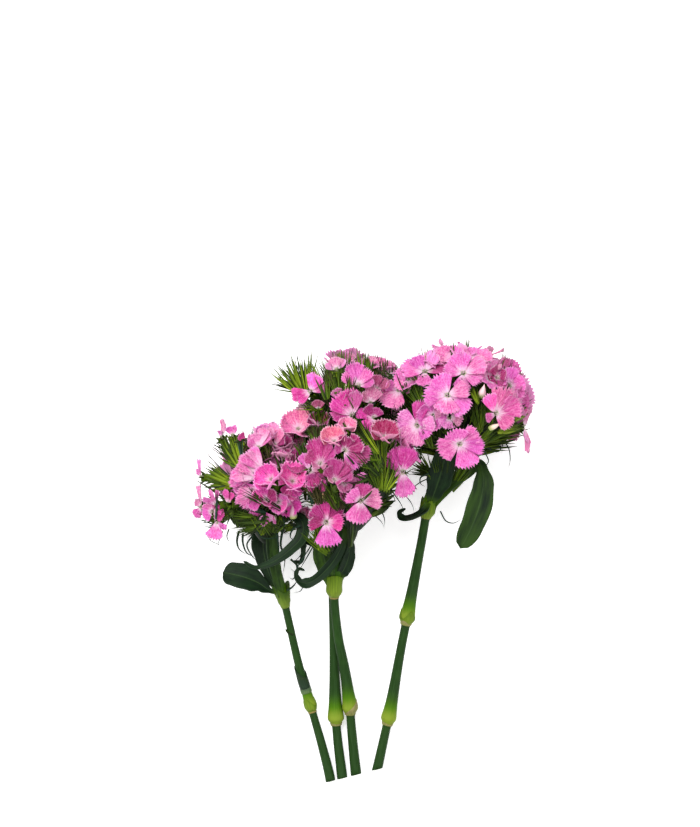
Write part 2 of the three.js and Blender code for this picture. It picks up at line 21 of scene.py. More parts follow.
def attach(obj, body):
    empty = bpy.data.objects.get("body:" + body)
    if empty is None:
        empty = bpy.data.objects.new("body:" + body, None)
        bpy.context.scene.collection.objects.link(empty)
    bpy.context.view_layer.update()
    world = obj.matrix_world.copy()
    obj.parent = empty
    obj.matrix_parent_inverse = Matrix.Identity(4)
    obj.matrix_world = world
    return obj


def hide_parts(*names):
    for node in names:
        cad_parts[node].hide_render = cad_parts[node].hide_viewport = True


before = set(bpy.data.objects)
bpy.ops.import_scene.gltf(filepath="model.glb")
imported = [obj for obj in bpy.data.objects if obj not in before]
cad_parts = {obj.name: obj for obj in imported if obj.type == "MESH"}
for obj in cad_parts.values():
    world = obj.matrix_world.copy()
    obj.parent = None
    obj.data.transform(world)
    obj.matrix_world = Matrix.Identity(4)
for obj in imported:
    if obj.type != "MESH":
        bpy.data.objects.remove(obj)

LOG = logging.getLogger("sweet_william")
MM = 0.001
SHIFT = Vector((0.16, -0.81, 0.0))  # the layout's numbers to the frame's, in millimetres
GOLDEN_ANGLE = math.pi * (3 - math.sqrt(5))
UP = Vector((0, 0, 1))
FLOOR_GAP = 0.05  # how far over the floor the lowest points stay, in millimetres
BRACT_LOOKS = (0.31, 0.2, 0.93)  # the way that the flat sides of bracts and calyces lean

Colour = tuple[float, float, float]
Spot = tuple[float, float, float]
Material = bpy.types.Material
Place = Callable[[Vector], Vector]
Paint = Callable[[Vector], Sequence[float]] | Sequence[float]


# --- material building


class Signal:
    """A value that flows through a material. Python arithmetic on it adds Math nodes."""

    def __init__(self, surface: "Surface", socket: bpy.types.NodeSocket) -> None:
        """Wraps an output socket of a surface's nodes."""
        self.surface = surface
        self.socket = socket

    def math(self, operation: str, first: object, second: object = 0.0) -> "Signal":
        """Adds a Math node.

        Args:
            operation: Name of the node's operation.
            first: First value or signal.
            second: Second value or signal.

        Returns:
            The node's result.
        """
        made = self.surface.node("ShaderNodeMath", {"operation": operation}, {0: first, 1: second})
        return Signal(self.surface, made.outputs[0])

    def __add__(self, other: object) -> "Signal":
        """Adds."""
        return self.math("ADD", self, other)

    def __sub__(self, other: object) -> "Signal":
        """Subtracts."""
        return self.math("SUBTRACT", self, other)

    def __rsub__(self, other: object) -> "Signal":
        """Subtracts from a value."""
        return self.math("SUBTRACT", other, self)

    def __mul__(self, other: object) -> "Signal":
        """Multiplies."""
        return self.math("MULTIPLY", self, other)

    def __truediv__(self, other: object) -> "Signal":
        """Divides."""
        return self.math("DIVIDE", self, other)

    __radd__, __rmul__ = __add__, __mul__

    def abs(self) -> "Signal":
        """Drops the sign."""
        return self.math("ABSOLUTE", self)


class Surface:
    """The nodes of one material, and short ways to add to them."""

    def __init__(self, name: str) -> None:
        """Starts a material with a Principled shader.

        Args:
            name: Name of the material.
        """
        self.material = bpy.data.materials.new(name)
        self.material.use_nodes = True
        self.tree = self.material.node_tree
        self.shader = next(n for n in self.tree.nodes if n.type == "BSDF_PRINCIPLED")

    def node(
        self, kind: str, settings: dict[str, object] | None = None, inputs: dict | None = None
    ) -> bpy.types.Node:
        """Adds any node.

        Args:
            kind: The node's type.
            settings: The node's own settings, which are set first. "stops" fills a colour ramp.
            inputs: Values or signals for its sockets, by name or number.

        Returns:
            The new node.
        """
        made = self.tree.nodes.new(kind)
        for key, value in (settings or {}).items():
            if key == "stops":
                elements = made.color_ramp.elements
                while len(elements) < len(value):
                    elements.new(0.5)
                for element, (position, colour) in zip(elements, value):
                    element.position = position
                    element.color = (*colour, 1.0)
            else:
                setattr(made, key, value)
        for key, value in (inputs or {}).items():
            if isinstance(value, Signal):
                self.tree.links.new(value.socket, made.inputs[key])
            elif isinstance(value, tuple) and len(made.inputs[key].default_value) == 4:
                made.inputs[key].default_value = (*value, 1.0)
            else:
                made.inputs[key].default_value = value
        return made

    def signal(self, kind: str, settings: dict | None, inputs: dict | None, out: object = 0) -> Signal:
        """Adds a node and gives one of its outputs.

        Args:
            kind: The node's type.
            settings: The node's own settings.
            inputs: Values or signals for its sockets.
            out: Name or number of the output.

        Returns:
            That output.
        """
        return Signal(self, self.node(kind, settings, inputs).outputs[out])

    def three(self, name: str) -> tuple[Signal, Signal, Signal]:
        """Reads an attribute of the piece as three numbers."""
        return self.split(self.signal("ShaderNodeAttribute", {"attribute_name": name}, None, "Vector"))

    def tint(self) -> Signal:
        """Reads the piece's own colour."""
        return self.signal("ShaderNodeAttribute", {"attribute_name": "tint"}, None, "Color")

    def place(self) -> Signal:
        """Gives the piece's own coordinates, in metres."""
        return self.signal("ShaderNodeTexCoord", None, None, "Object")

    def split(self, vector: Signal) -> tuple[Signal, Signal, Signal]:
        """Parts a vector into its three numbers."""
        made = self.node("ShaderNodeSeparateXYZ", None, {0: vector})
        return tuple(Signal(self, output) for output in made.outputs)

    def join(self, x: object, y: object, z: object) -> Signal:
        """Joins three numbers to a vector."""
        return self.signal("ShaderNodeCombineXYZ", None, {0: x, 1: y, 2: z})

    def noise(self, vector: Signal, scale: float, detail: float = 2.0) -> Signal:
        """Gives soft random patches from 0 to 1.

        Args:
            vector: Where the pattern is read.
            scale: Patches per unit of that vector.
            detail: Finer layers.

        Returns:
            The pattern.
        """
        inputs = {"Vector": vector, "Scale": scale, "Detail": detail}
        return self.signal("ShaderNodeTexNoise", None, inputs)

    def rise(self, value: Signal, low: float, high: float) -> Signal:
        """Gives a smooth step.

        Args:
            value: What is stepped.
            low: Where the step starts, at 0.
            high: Where it ends, at 1.

        Returns:
            The step.
        """
        inputs = {"Value": value, "From Min": low, "From Max": high}
        return self.signal("ShaderNodeMapRange", {"interpolation_type": "SMOOTHSTEP"}, inputs)

    def mix(self, share: object, first: object, second: object, blend: str = "MIX") -> Signal:
        """Mixes two colours.

        Args:
            share: How much of the second one, from 0 to 1.
            first: Colour or signal.
            second: Colour or signal.
            blend: Name of the blend.

        Returns:
            The mixed colour.
        """
        settings = {"data_type": "RGBA", "blend_type": blend, "clamp_factor": True}
        return self.signal("ShaderNodeMix", settings, {0: share, 6: first, 7: second}, 2)

    def bump(self, height: Signal, strength: float, distance: float) -> Signal:
        """Gives the normal of a raised pattern.

        Args:
            height: The pattern.
            strength: Share of the effect.
            distance: Height of the pattern in metres.

        Returns:
            The normal.
        """
        inputs = {"Height": height, "Strength": strength, "Distance": distance}
        return self.signal("ShaderNodeBump", None, inputs)

    def shade(self, sockets: dict[str, object]) -> Material:
        """Sets the shader's sockets.

        Args:
            sockets: Values or signals by the socket's name.

        Returns:
            The finished material.
        """
        for name, value in sockets.items():
            if isinstance(value, Signal):
                self.tree.links.new(value.socket, self.shader.inputs[name])
            elif isinstance(value, tuple) and len(value) == 3 and "Radius" not in name:
                self.shader.inputs[name].default_value = (*value, 1.0)
            else:
                self.shader.inputs[name].default_value = value
        return self.material


# --- finishes


@dataclass(frozen=True)
class PetalFace:
    """The velvet upper face of a petal: a pale streaked star round a green throat, fine veins, painted
    highlights and shade on its crinkles.
    """

    pale: Colour = (0.76, 0.58, 0.68)
    throat: Colour = (0.42, 0.42, 0.27)
    deepen: Colour = (0.66, 0.14, 0.48)  # turns a tint into its deep veins, band and specks, and the painted shade in its crinkles
    lighten: Colour = (1.22, 1.75, 1.30)  # turns a tint into its pale specks and the painted highlights on its crinkles
    warm: Colour = (0.88, 0.36, 0.56)
    roughness: float = 0.6

    def material(self) -> Material:
        """Builds the finish from the bloom's tint and traits: depth, rim and heart.

        Returns:
            The material.
        """
        s = Surface("petal_velvet")
        u, v, seed = s.three("form")
        depth, rim, heart = s.three("traits")
        tint = s.tint()
        streak = s.noise(s.join(u * 6.0, v * 0.7, seed * 7.3), 1.6, 3.0)
        fine = s.noise(s.join(u * 17.0, v * 1.3, seed * 3.1), 1.8, 3.0)
        cloud = s.noise(s.join(u * 1.3, v * 1.9, seed * 11.0), 1.4, 2.0)
        grain = s.noise(s.place(), 2600.0, 1.0)
        deep = s.mix(1.0, tint, self.deepen, "MULTIPLY")
        light = s.mix(0.45, tint, self.pale)
        band = s.rise(v, 0.12, 0.45) * (1.0 - s.rise(v, 0.6, 0.97))
        shade = depth * band * (0.3 + 1.2 * s.rise(cloud, 0.3, 0.7))
        base = s.mix(shade, tint, deep)
        vein = s.rise(fine, 0.36, 0.62)
        base = s.mix((1.0 - vein) * (0.18 + 0.32 * depth), base, deep)
        base = s.mix(s.rise(streak, 0.5, 0.72) * 0.35, base, light)
        # The crinkles' bump, with painted highlights on their ridges and painted shade in their hollows.
        crease = s.noise(s.join(u * 7.0, v * 2.6, seed * 6.1), 2.1, 2.0)
        speck_and_highlight = s.mix(0.12, s.mix(1.0, tint, self.lighten, "MULTIPLY"), self.pale)
        base = s.mix(s.rise(crease, 0.5, 0.70) * 0.6, base, speck_and_highlight)
        base = s.mix((1.0 - s.rise(crease, 0.32, 0.5)) * 0.5, base, deep)
        crumb = s.noise(s.place(), 1300.0, 2.0)
        base = s.mix(s.rise(crumb, 0.52, 0.7) * 0.5, base, speck_and_highlight)
        base = s.mix((1.0 - s.rise(crumb, 0.34, 0.48)) * 0.34, base, deep)
        mottle = s.noise(s.join(u * 3.2, v * 3.6, seed * 4.7), 2.6, 4.0)
        base = s.mix(s.rise(mottle, 0.44, 0.7) * 0.24, base, s.mix(0.4, tint, self.warm))
        base = s.mix((1.0 - s.rise(mottle, 0.3, 0.46)) * 0.3, base, deep)
        edge_line = s.rise(v + (streak - 0.5) * 0.12, 0.88, 0.99)
        base = s.mix(rim * edge_line, base, light)
        edge = v - (streak - 0.5) * 0.5 - (grain - 0.5) * 0.2
        star = 1.0 - s.rise(edge / heart, 0.3, 1.15)
        base = s.mix(star * 0.78, base, self.pale)
        base = s.mix(1.0 - s.rise(v, 0.125, 0.2), base, self.throat)
        height = fine * 0.3 + crease * 0.8 + mottle * 0.7 + crumb * 0.5
        return s.shade({
            "Base Color": base,
            "Roughness": self.roughness,
            "Sheen Weight": 0.08,
            "Sheen Roughness": 0.4,
            "Specular IOR Level": 0.12,
            "Subsurface Weight": 0.12,
            "Subsurface Radius": (0.9, 0.35, 0.6),
            "Subsurface Scale": 0.0012,
            "Normal": s.bump(height, 0.85, 0.00055),
        })


@dataclass(frozen=True)
class PetalBack:
    """The duller, paler underside of a petal."""

    chalk: Colour = (0.68, 0.33, 0.50)
    vein: Colour = (0.74, 0.48, 0.60)
    foot: Colour = (0.55, 0.52, 0.30)

    def material(self) -> Material:
        """Builds the finish: the bloom's tint with a chalky bloom over it and raised veins.

        Returns:
            The material.
        """
        s = Surface("petal_underside")
        u, v, seed = s.three("form")
        vein = s.noise(s.join(u * 12.0, v * 0.8, seed * 5.0), 1.7, 2.0)
        dull = s.mix(0.4, s.tint(), self.chalk)
        base = s.mix(s.rise(vein, 0.45, 0.8) * 0.5, dull, self.vein)
        base = s.mix(1.0 - s.rise(v, 0.1, 0.45), base, self.foot)
        return s.shade({
            "Base Color": base,
            "Roughness": 0.7,
            "Sheen Weight": 0.15,
            "Specular IOR Level": 0.2,
            "Normal": s.bump(vein, 0.5, 0.0002),
        })


@dataclass(frozen=True)
class BractGreen:
    """Calyces, bracts and threads: their own green, ribbed along, darker at the tips, with painted shade on
    the heart and threads.
    """

    darken: Colour = (0.20, 0.30, 0.30)  # turns a green into its dark ribs and tips
    tan: Colour = (0.060, 0.066, 0.012)
    # The colour of the painted shadow over the heart and the threads.
    shadow: Colour = (0.006, 0.012, 0.004)

    def material(self) -> Material:
        """Builds the finish from the tint, from how far along the shape each point is, and from its share of
        painted shade.

        Returns:
            The material.
        """
        s = Surface("bract_green")
        x, y, along = s.three("form")
        tip, seed, shade_share = s.three("traits")
        tint = s.tint()
        rib = s.noise(s.join(x * 3.0, y * 3.0, along * 0.7 + seed * 9.0), 2.0, 2.0)
        patch = s.noise(s.place(), 260.0, 2.0)
        dark = s.mix(1.0, tint, self.darken, "MULTIPLY")
        base = s.mix(s.rise(rib, 0.35, 0.75) * 0.45, tint, dark)
        base = s.mix(s.rise(along, 0.35, 1.05) * tip, base, dark)
        base = s.mix(s.rise(patch, 0.5, 0.75) * 0.25, base, self.tan)
        # Painted shade, most on the heart inside the head.
        base = s.mix(shade_share, base, self.shadow)
        return s.shade({
            "Base Color": base,
            "Roughness": 0.58,
            "Specular IOR Level": 0.12,
            "Normal": s.bump(rib, 0.4, 0.0002),
        })


@dataclass(frozen=True)
class StalkSkin:
    """The smooth skin of a stalk: blue-green with a waxy bloom, yellow-green above each joint."""

    green: Colour = (0.008, 0.030, 0.003)
    wax: Colour = (0.024, 0.060, 0.016)
    fresh: Colour = (0.050, 0.135, 0.001)
    pale: Colour = (0.170, 0.235, 0.020)
    scar: Colour = (0.240, 0.180, 0.060)
    patch: Colour = (0.022, 0.066, 0.009)
    speck: Colour = (0.17, 0.16, 0.03)

    def material(self) -> Material:
        """Builds the finish from the nearness of a joint and of its scar, kept as traits.

        Returns:
            The material.
        """
        s = Surface("stalk_skin")
        x, y, along = s.three("form")
        glow, scar, _ = s.three("traits")
        fibre = s.noise(s.join(x * 5.0, y * 5.0, along * 14.0), 2.2, 3.0)
        patch = s.noise(s.place(), 120.0, 3.0)
        speck = s.noise(s.place(), 1500.0, 2.0)
        base = s.mix(s.rise(fibre, 0.3, 0.75) * 0.75, self.green, self.wax)
        base = s.mix(s.rise(patch, 0.45, 0.7) * 0.35, base, self.patch)
        joint = glow + (fibre - 0.5) * 0.22
        base = s.mix(s.rise(joint, 0.12, 0.70), base, self.fresh)
        base = s.mix(s.rise(joint, 0.55, 1.05), base, self.pale)
        base = s.mix(s.rise(scar + (speck - 0.5) * 0.7, 0.45, 0.95), base, self.scar)
        base = s.mix(s.rise(speck, 0.66, 0.74) * s.rise(glow, 0.6, 0.9) * 0.6, base, self.speck)
        return s.shade({
            "Base Color": base,
            "Roughness": 0.48 + fibre * 0.2,
            "Specular IOR Level": 0.09,
            "Normal": s.bump(fibre * 0.8 + speck * 0.2, 0.35, 0.0003),
        })


@dataclass(frozen=True)
class CutFace:
    """The freshly cut end of a stalk: pale wet pith with green pores."""

    pore: Colour = (0.22, 0.34, 0.09)
    pith: Colour = (0.50, 0.58, 0.28)

    def material(self) -> Material:
        """Builds the finish: pores on the piece's own coordinates.

        Returns:
            The material.
        """
        s = Surface("cut_pith")
        pore = s.noise(s.place(), 2200.0, 2.0)
        base = s.mix(s.rise(pore, 0.4, 0.65), self.pore, self.pith)
        return s.shade({"Base Color": base, "Roughness": 0.35, "Normal": s.bump(pore, 0.5, 0.0002)})


@dataclass(frozen=True)
class LeafSkin:
    """A leaf: dark, bluish and satiny, with a paler midrib and fine veins along it."""

    dark: Colour = (0.003, 0.010, 0.004)
    mid: Colour = (0.008, 0.023, 0.007)
    wax: Colour = (0.025, 0.052, 0.021)
    fresh: Colour = (0.050, 0.110, 0.006)
    midrib: Colour = (0.040, 0.080, 0.022)

    def material(self) -> Material:
        """Builds the finish from the place across and along the leaf.

        Returns:
            The material.
        """
        s = Surface("leaf_skin")
        u, v, seed = s.three("form")
        fresh, _, _ = s.three("traits")
        vein = s.noise(s.join(u * 9.0, v * 0.8, seed * 7.0), 2.4, 3.0)
        patch = s.noise(s.join(u * 1.1, v * 2.6, seed * 5.0), 1.9, 3.0)
        pore = s.noise(s.place(), 1800.0, 2.0)
        rib = 1.0 - s.rise(u.abs() + (pore - 0.5) * 0.04, 0.02, 0.11)
        base = s.mix(s.rise(patch, 0.3, 0.75), self.dark, self.mid)
        base = s.mix(s.rise(vein, 0.48, 0.8) * 0.35, base, self.wax)
        base = s.mix(fresh * s.rise(patch, 0.2, 0.7), base, self.fresh)
        base = s.mix(rib * 0.55 * (1.0 - v * 0.5), base, self.midrib)
        base = s.mix((1.0 - s.rise(v, 0.0, 0.2)) * 0.75, base, self.fresh)
        base = s.mix(s.rise(u.abs(), 0.93, 1.0) * 0.35, base, self.wax)
        return s.shade({
            "Base Color": base,
            "Roughness": 0.4 + vein * 0.22,
            "Specular IOR Level": 0.11,
            "Normal": s.bump(vein * 0.7 + pore * 0.3 - rib * 1.5, 0.45, 0.00025),
        })


@dataclass(frozen=True)
class Silk:
    """Styles, anthers and buds: thin pale tissue with its own tint."""

    flush: Colour = (0.80, 0.36, 0.52)
    foot: Colour = (0.30, 0.36, 0.10)

    def material(self) -> Material:
        """Builds the finish from the tint, greener towards the foot.

        Returns:
            The material.
        """
        s = Surface("pale_silk")
        x, y, along = s.three("form")
        grain = s.noise(s.join(x * 2.5, y * 2.5, along * 3.0), 2.4, 2.0)
        tint = s.tint()
        base = s.mix(s.rise(grain, 0.4, 0.75) * 0.4, tint, self.flush)
        base = s.mix(1.0 - s.rise(along, 0.05, 0.4), base, self.foot)
        return s.shade({"Base Color": base, "Roughness": 0.55, "Normal": s.bump(grain, 0.3, 0.0002)})


@dataclass(frozen=True)
class Paper:
    """The studio floor: smooth white paper on a light table."""

    low: Colour = (0.90, 0.90, 0.90)
    high: Colour = (0.93, 0.93, 0.93)
    glow: float = 0.42

    def material(self) -> Material:
        """Builds the finish: a faint tooth.

        Returns:
            The material.
        """
        s = Surface("white_paper")
        tooth = s.noise(s.place(), 900.0, 3.0)
        base = s.mix(tooth, self.low, self.high)
        return s.shade({
            "Base Color": base,
            "Roughness": 0.9,
            "Emission Color": base,
            "Emission Strength": self.glow,
            "Normal": s.bump(tooth, 0.05, 0.0001),
        })


class Tint(Enum):
    """How a bloom is coloured: its colour, then how deep its middle band is, how pale its rim is,
    and how far its pale star reaches."""

    PALE = ((0.70, 0.240, 0.480), 0.25, 0.45, 0.46)
    LIGHT = ((0.68, 0.168, 0.440), 0.32, 0.45, 0.44)
    ORCHID = ((0.62, 0.128, 0.415), 0.35, 0.40, 0.42)
    ROSE = ((0.53, 0.095, 0.305), 0.38, 0.40, 0.40)
    BRIGHT = ((0.86, 0.120, 0.500), 0.45, 0.75, 0.38)
    HOT = ((0.66, 0.045, 0.340), 0.50, 0.35, 0.46)
    MAUVE = ((0.49, 0.042, 0.255), 0.50, 0.35, 0.34)
    PLUM = ((0.36, 0.032, 0.175), 0.40, 0.35, 0.30)
    MAGENTA = ((0.35, 0.009, 0.150), 0.60, 0.75, 0.30)
    CRIMSON = ((0.40, 0.022, 0.125), 0.70, 0.90, 0.30)
    CORAL = ((0.68, 0.165, 0.290), 0.45, 0.80, 0.40)
    BLUSH = ((0.80, 0.245, 0.440), 0.40, 0.60, 0.42)
    DUSTY = ((0.55, 0.175, 0.345), 0.35, 0.30, 0.40)
    DUSK = ((0.38, 0.070, 0.170), 0.40, 0.30, 0.32)
    STREAK = ((0.78, 0.180, 0.470), 0.45, 0.45, 0.85)

    @property
    def colour(self) -> Colour:
        """The main colour."""
        return self.value[0]

    @property
    def traits(self) -> Colour:
        """Depth, rim and heart, as the petal finish reads them."""
        return self.value[1:]


# --- small tools


def fraction(item: float, trait: float) -> float:
    """Gives a repeatable fraction from 0 to 1 for one trait of an item."""
    s = math.sin(item * 12.9898 + trait * 78.233) * 43758.5453
    return s - math.floor(s)


def blend(a: float, b: float, t: float) -> float:
    """Goes from a at t = 0 to b at t = 1."""
    return a + (b - a) * t


def stand(name: str, data: bpy.types.ID) -> bpy.types.Object:
    """Puts a mesh, a light or a camera into the scene as an object.

    Args:
        name: Name of the object.
        data: What it shows.

    Returns:
        The object.
    """
    made = bpy.data.objects.new(name, data)
    bpy.context.scene.collection.objects.link(made)
    return made


def look_along(turn: float, tilt: float) -> Vector:
    """Gives the way that looks `turn` degrees right of +Z and `tilt` degrees up towards +Y."""
    t, p = math.radians(turn), math.radians(tilt)
    return Vector((math.sin(t) * math.cos(p), math.sin(p), math.cos(t) * math.cos(p)))


def across(way: Vector) -> tuple[Vector, Vector]:
    """Gives two unit vectors across a way, right-handed with it.

    Args:
        way: The unit way.

    Returns:
        The side and the lift.
    """
    steep = abs(way.y) > 0.95
    side = (-UP if steep else Vector((0, 1, 0))).cross(way).normalized()
    return side, way.cross(side)


def spoke(way: Vector, angle: float) -> Vector:
    """Gives the unit vector at an angle round a way."""
    side, lift = across(way)
    return side * math.cos(angle) + lift * math.sin(angle)


class Spine:
    """A smooth curve through points, with a frame at each place along it."""

    def __init__(self, points: Iterable[Sequence[float]], looks: Sequence[float] = (0, 0, 1)) -> None:
        """Keeps the points.

        Args:
            points: Points of the layout that the curve passes through.
            looks: The way that the frames' normals lean.
        """
        self.points = [Vector(p) for p in points]
        self.looks = Vector(looks).normalized()
        self.kept: dict[float, tuple[Vector, Vector, Vector]] = {}

    @classmethod
    def arc(cls, start: Vector, middle: Vector, end: Vector, looks: Sequence[float] = (0, 0, 1)) -> "Spine":
        """Makes the spine of a quadratic arc.

        Args:
            start: Where it starts.
            middle: The point that it leans to.
            end: Where it ends.
            looks: The way that the frames' normals lean.

        Returns:
            The spine.
        """
        steps = [i / 6 for i in range(7)]
        points = [start * (1 - t) ** 2 + middle * (2 * t * (1 - t)) + end * t**2 for t in steps]
        return cls(points, looks)

    def at(self, t: float) -> Vector:
        """Gives the point at t, from 0 to 1, on a centripetal Catmull-Rom curve.

        Args:
            t: Share of the way along it.

        Returns:
            The point.
        """
        points, last = self.points, len(self.points) - 1
        i = min(int(last * t), last - 1)
        w = last * t - i
        p1, p2 = points[i], points[i + 1]
        p0 = points[i - 1] if i else p1 * 2 - p2
        p3 = points[i + 2] if i + 2 <= last else p2 * 2 - p1
        gap1 = math.sqrt((p2 - p1).length) or 1.0
        gap0 = math.sqrt((p1 - p0).length) or gap1
        gap2 = math.sqrt((p3 - p2).length) or gap1
        out = ((p1 - p0) / gap0 - (p2 - p0) / (gap0 + gap1) + (p2 - p1) / gap1) * gap1
        end = ((p2 - p1) / gap1 - (p3 - p1) / (gap1 + gap2) + (p3 - p2) / gap2) * gap1
        cubic = p1 * 2 - p2 * 2 + out + end
        square = p2 * 3 - p1 * 3 - out * 2 - end
        return cubic * w**3 + square * w**2 + out * w + p1

    def frame(self, t: float) -> tuple[Vector, Vector, Vector]:
        """Gives the point, the side and the normal at t.

        Args:
            t: Share of the way along it.

        Returns:
            The three vectors.
        """
        key = round(t, 5)
        if key not in self.kept:
            way = (self.at(min(t + 1e-3, 1)) - self.at(max(t - 1e-3, 0))).normalized()
            side = way.cross(self.looks)
            if side.length < 0.05:
                side = way.cross(Vector((0.3, 1, 0.2)))
            side.normalize()
            self.kept[key] = (self.at(t), side, side.cross(way))
        return self.kept[key]

    def tube(self, radius: Callable[[float], float], flat: float = 1.0) -> Place:
        """Gives the bend that lays a unit tube or spike along the spine.

        Args:
            radius: Radius in millimetres at t.
            flat: Thickness across the normal, as a share of the width.

        Returns:
            The bend.
        """

        def place(p: Vector) -> Vector:
            """Moves a point of the unit shape.

            Args:
                p: The point.

            Returns:
                Its place in the layout, in millimetres.
            """
            point, side, normal = self.frame(min(max(p.z, 0.0), 1.0))
            r = radius(p.z)
            return point + side * (p.x * r) + normal * (p.y * r * flat)

        return place


class Unit:
    """Unit shapes that are made once, and copied and bent into the pieces."""

    @staticmethod
    def keep(bm: bmesh.types.BMesh, name: str) -> bpy.types.Mesh:
        """Turns a bmesh into a kept mesh.

        Args:
            bm: The bmesh, which is freed.
            name: Name of the mesh.

        Returns:
            The mesh.
        """
        mesh = bpy.data.meshes.new(name)
        bm.to_mesh(mesh)
        bm.free()
        return mesh

    @classmethod
    def blade(cls, columns: int, rows: int) -> bpy.types.Mesh:
        """Makes a flat blade, -1 to 1 across and 0 to 1 along.

        Args:
            columns: Faces across.
            rows: Faces along.

        Returns:
            The mesh.
        """
        bm = bmesh.new()
        lift = Matrix.Translation((0, 1, 0))
        bmesh.ops.create_grid(bm, x_segments=columns, y_segments=rows, size=1.0, matrix=lift)
        bmesh.ops.scale(bm, vec=(1, 0.5, 1), verts=bm.verts)
        return cls.keep(bm, "unit_blade")

    @classmethod
    def tube(cls, sides: int, rings: int, pointed: bool = False) -> bpy.types.Mesh:
        """Makes a tube of radius 1 that stands on Z from 0 to 1.

        Args:
            sides: Faces round it.
            rings: Faces along it.
            pointed: Whether it narrows evenly to a point.

        Returns:
            The mesh.
        """
        bm = bmesh.new()
        bmesh.ops.create_circle(bm, segments=sides, radius=1.0)
        edges: list[bmesh.types.BMEdge] = list(bm.edges)
        ring: list[bmesh.types.BMVert] = []
        for i in range(rings):
            made = bmesh.ops.extrude_edge_only(bm, edges=edges)["geom"]
            ring = [g for g in made if isinstance(g, bmesh.types.BMVert)]
            edges = [g for g in made if isinstance(g, bmesh.types.BMEdge)]
            edges = [e for e in edges if all(v in ring for v in e.verts)]
            bmesh.ops.translate(bm, vec=(0, 0, 1 / rings), verts=ring)
            if pointed and i < rings - 1:
                share = (1 - (i + 1) / rings) / (1 - i / rings)
                bmesh.ops.scale(bm, vec=(share, share, 1), verts=ring)
        if pointed:
            bmesh.ops.pointmerge(bm, verts=ring, merge_co=(0, 0, 1))
            bmesh.ops.recalc_face_normals(bm, faces=bm.faces)
        bm.normal_update()
        side = next(f for f in bm.faces if abs(f.normal.z) < 0.9)
        if side.normal.dot(side.calc_center_median() * Vector((1, 1, 0))) < 0:
            bmesh.ops.reverse_faces(bm, faces=bm.faces)
        return cls.keep(bm, "unit_tube")

    @classmethod
    def bead(cls) -> bpy.types.Mesh:
        """Makes a coarse ball of radius 1.

        Returns:
            The mesh.
        """
        bm = bmesh.new()
        bmesh.ops.create_icosphere(bm, subdivisions=1, radius=1.0)
        return cls.keep(bm, "unit_bead")


class Mould:
    """A piece while it is shaped: unit shapes bent into place, with what its finish reads."""

    def __init__(self, name: str) -> None:
        """Starts an empty piece.

        Args:
            name: Name of the finished object.
        """
        self.name = name
        self.bm = bmesh.new()
        self.form = self.bm.verts.layers.float_vector.new("form")
        self.tint = self.bm.verts.layers.float_color.new("tint")
        self.traits = self.bm.verts.layers.float_vector.new("traits")

    def add(
        self,
        unit: bpy.types.Mesh,
        place: Place,
        tint: Paint = (0.5, 0.5, 0.5),
        traits: Paint = (0.0, 0.0, 0.0),
        seed: float | None = None,
    ) -> None:
        """Copies a unit shape into the piece.

        Args:
            unit: The unit shape.
            place: Bends a point of the unit shape to the layout, in millimetres.
            tint: Colour, or a rule that gives it for a point of the unit shape.
            traits: Three numbers for the finish, or a rule that gives them.
            seed: Kept as the third number of the form, for blades.
        """
        first = len(self.bm.verts)
        self.bm.from_mesh(unit)
        self.bm.verts.ensure_lookup_table()
        for vert in self.bm.verts[first:]:
            local = vert.co.copy()
            colour = tint(local) if callable(tint) else tint
            vert[self.tint] = (*colour, 1.0)
            vert[self.traits] = traits(local) if callable(traits) else traits
            vert[self.form] = local if seed is None else (local.x, local.y, seed)
            spot = place(local) + SHIFT
            spot.z = max(spot.z, FLOOR_GAP)
            vert.co = spot * MM

    def tree(self) -> BVHTree:
        """Gives the piece as it is now for rays to be sent at."""
        return BVHTree.FromBMesh(self.bm)

    def finish(
        self,
        materials: Sequence[Material],
        slot: str,
        replaces: Sequence[str] = (),
        thickness: float = 0.0,
        back: int = 0,
    ) -> bpy.types.Object:
        """Makes the object, and puts it on the frame.

        Args:
            materials: Its materials.
            slot: Not used.
            replaces: Names of the solids that it stands for.
            thickness: Wall in millimetres that a thin blade gets, if any.
            back: How many materials further on the underside is.

        Returns:
            The object.
        """
        mesh = bpy.data.meshes.new(self.name)
        self.bm.to_mesh(mesh)
        self.bm.free()
        mesh.shade_smooth()
        for material in materials:
            mesh.materials.append(material)
        piece = stand(self.name, mesh)
        if thickness:
            wall = piece.modifiers.new("wall", "SOLIDIFY")
            wall.thickness = thickness * MM
            wall.offset = -1.0 if back else 0.0
            wall.material_offset = back
            wall.material_offset_rim = 0
        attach(piece, "root")
        if replaces:
            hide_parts(*replaces)
        LOG.info("%s: %d faces, for %s", self.name, len(mesh.polygons), ", ".join(replaces) or "detail")
        return piece


# --- stalks


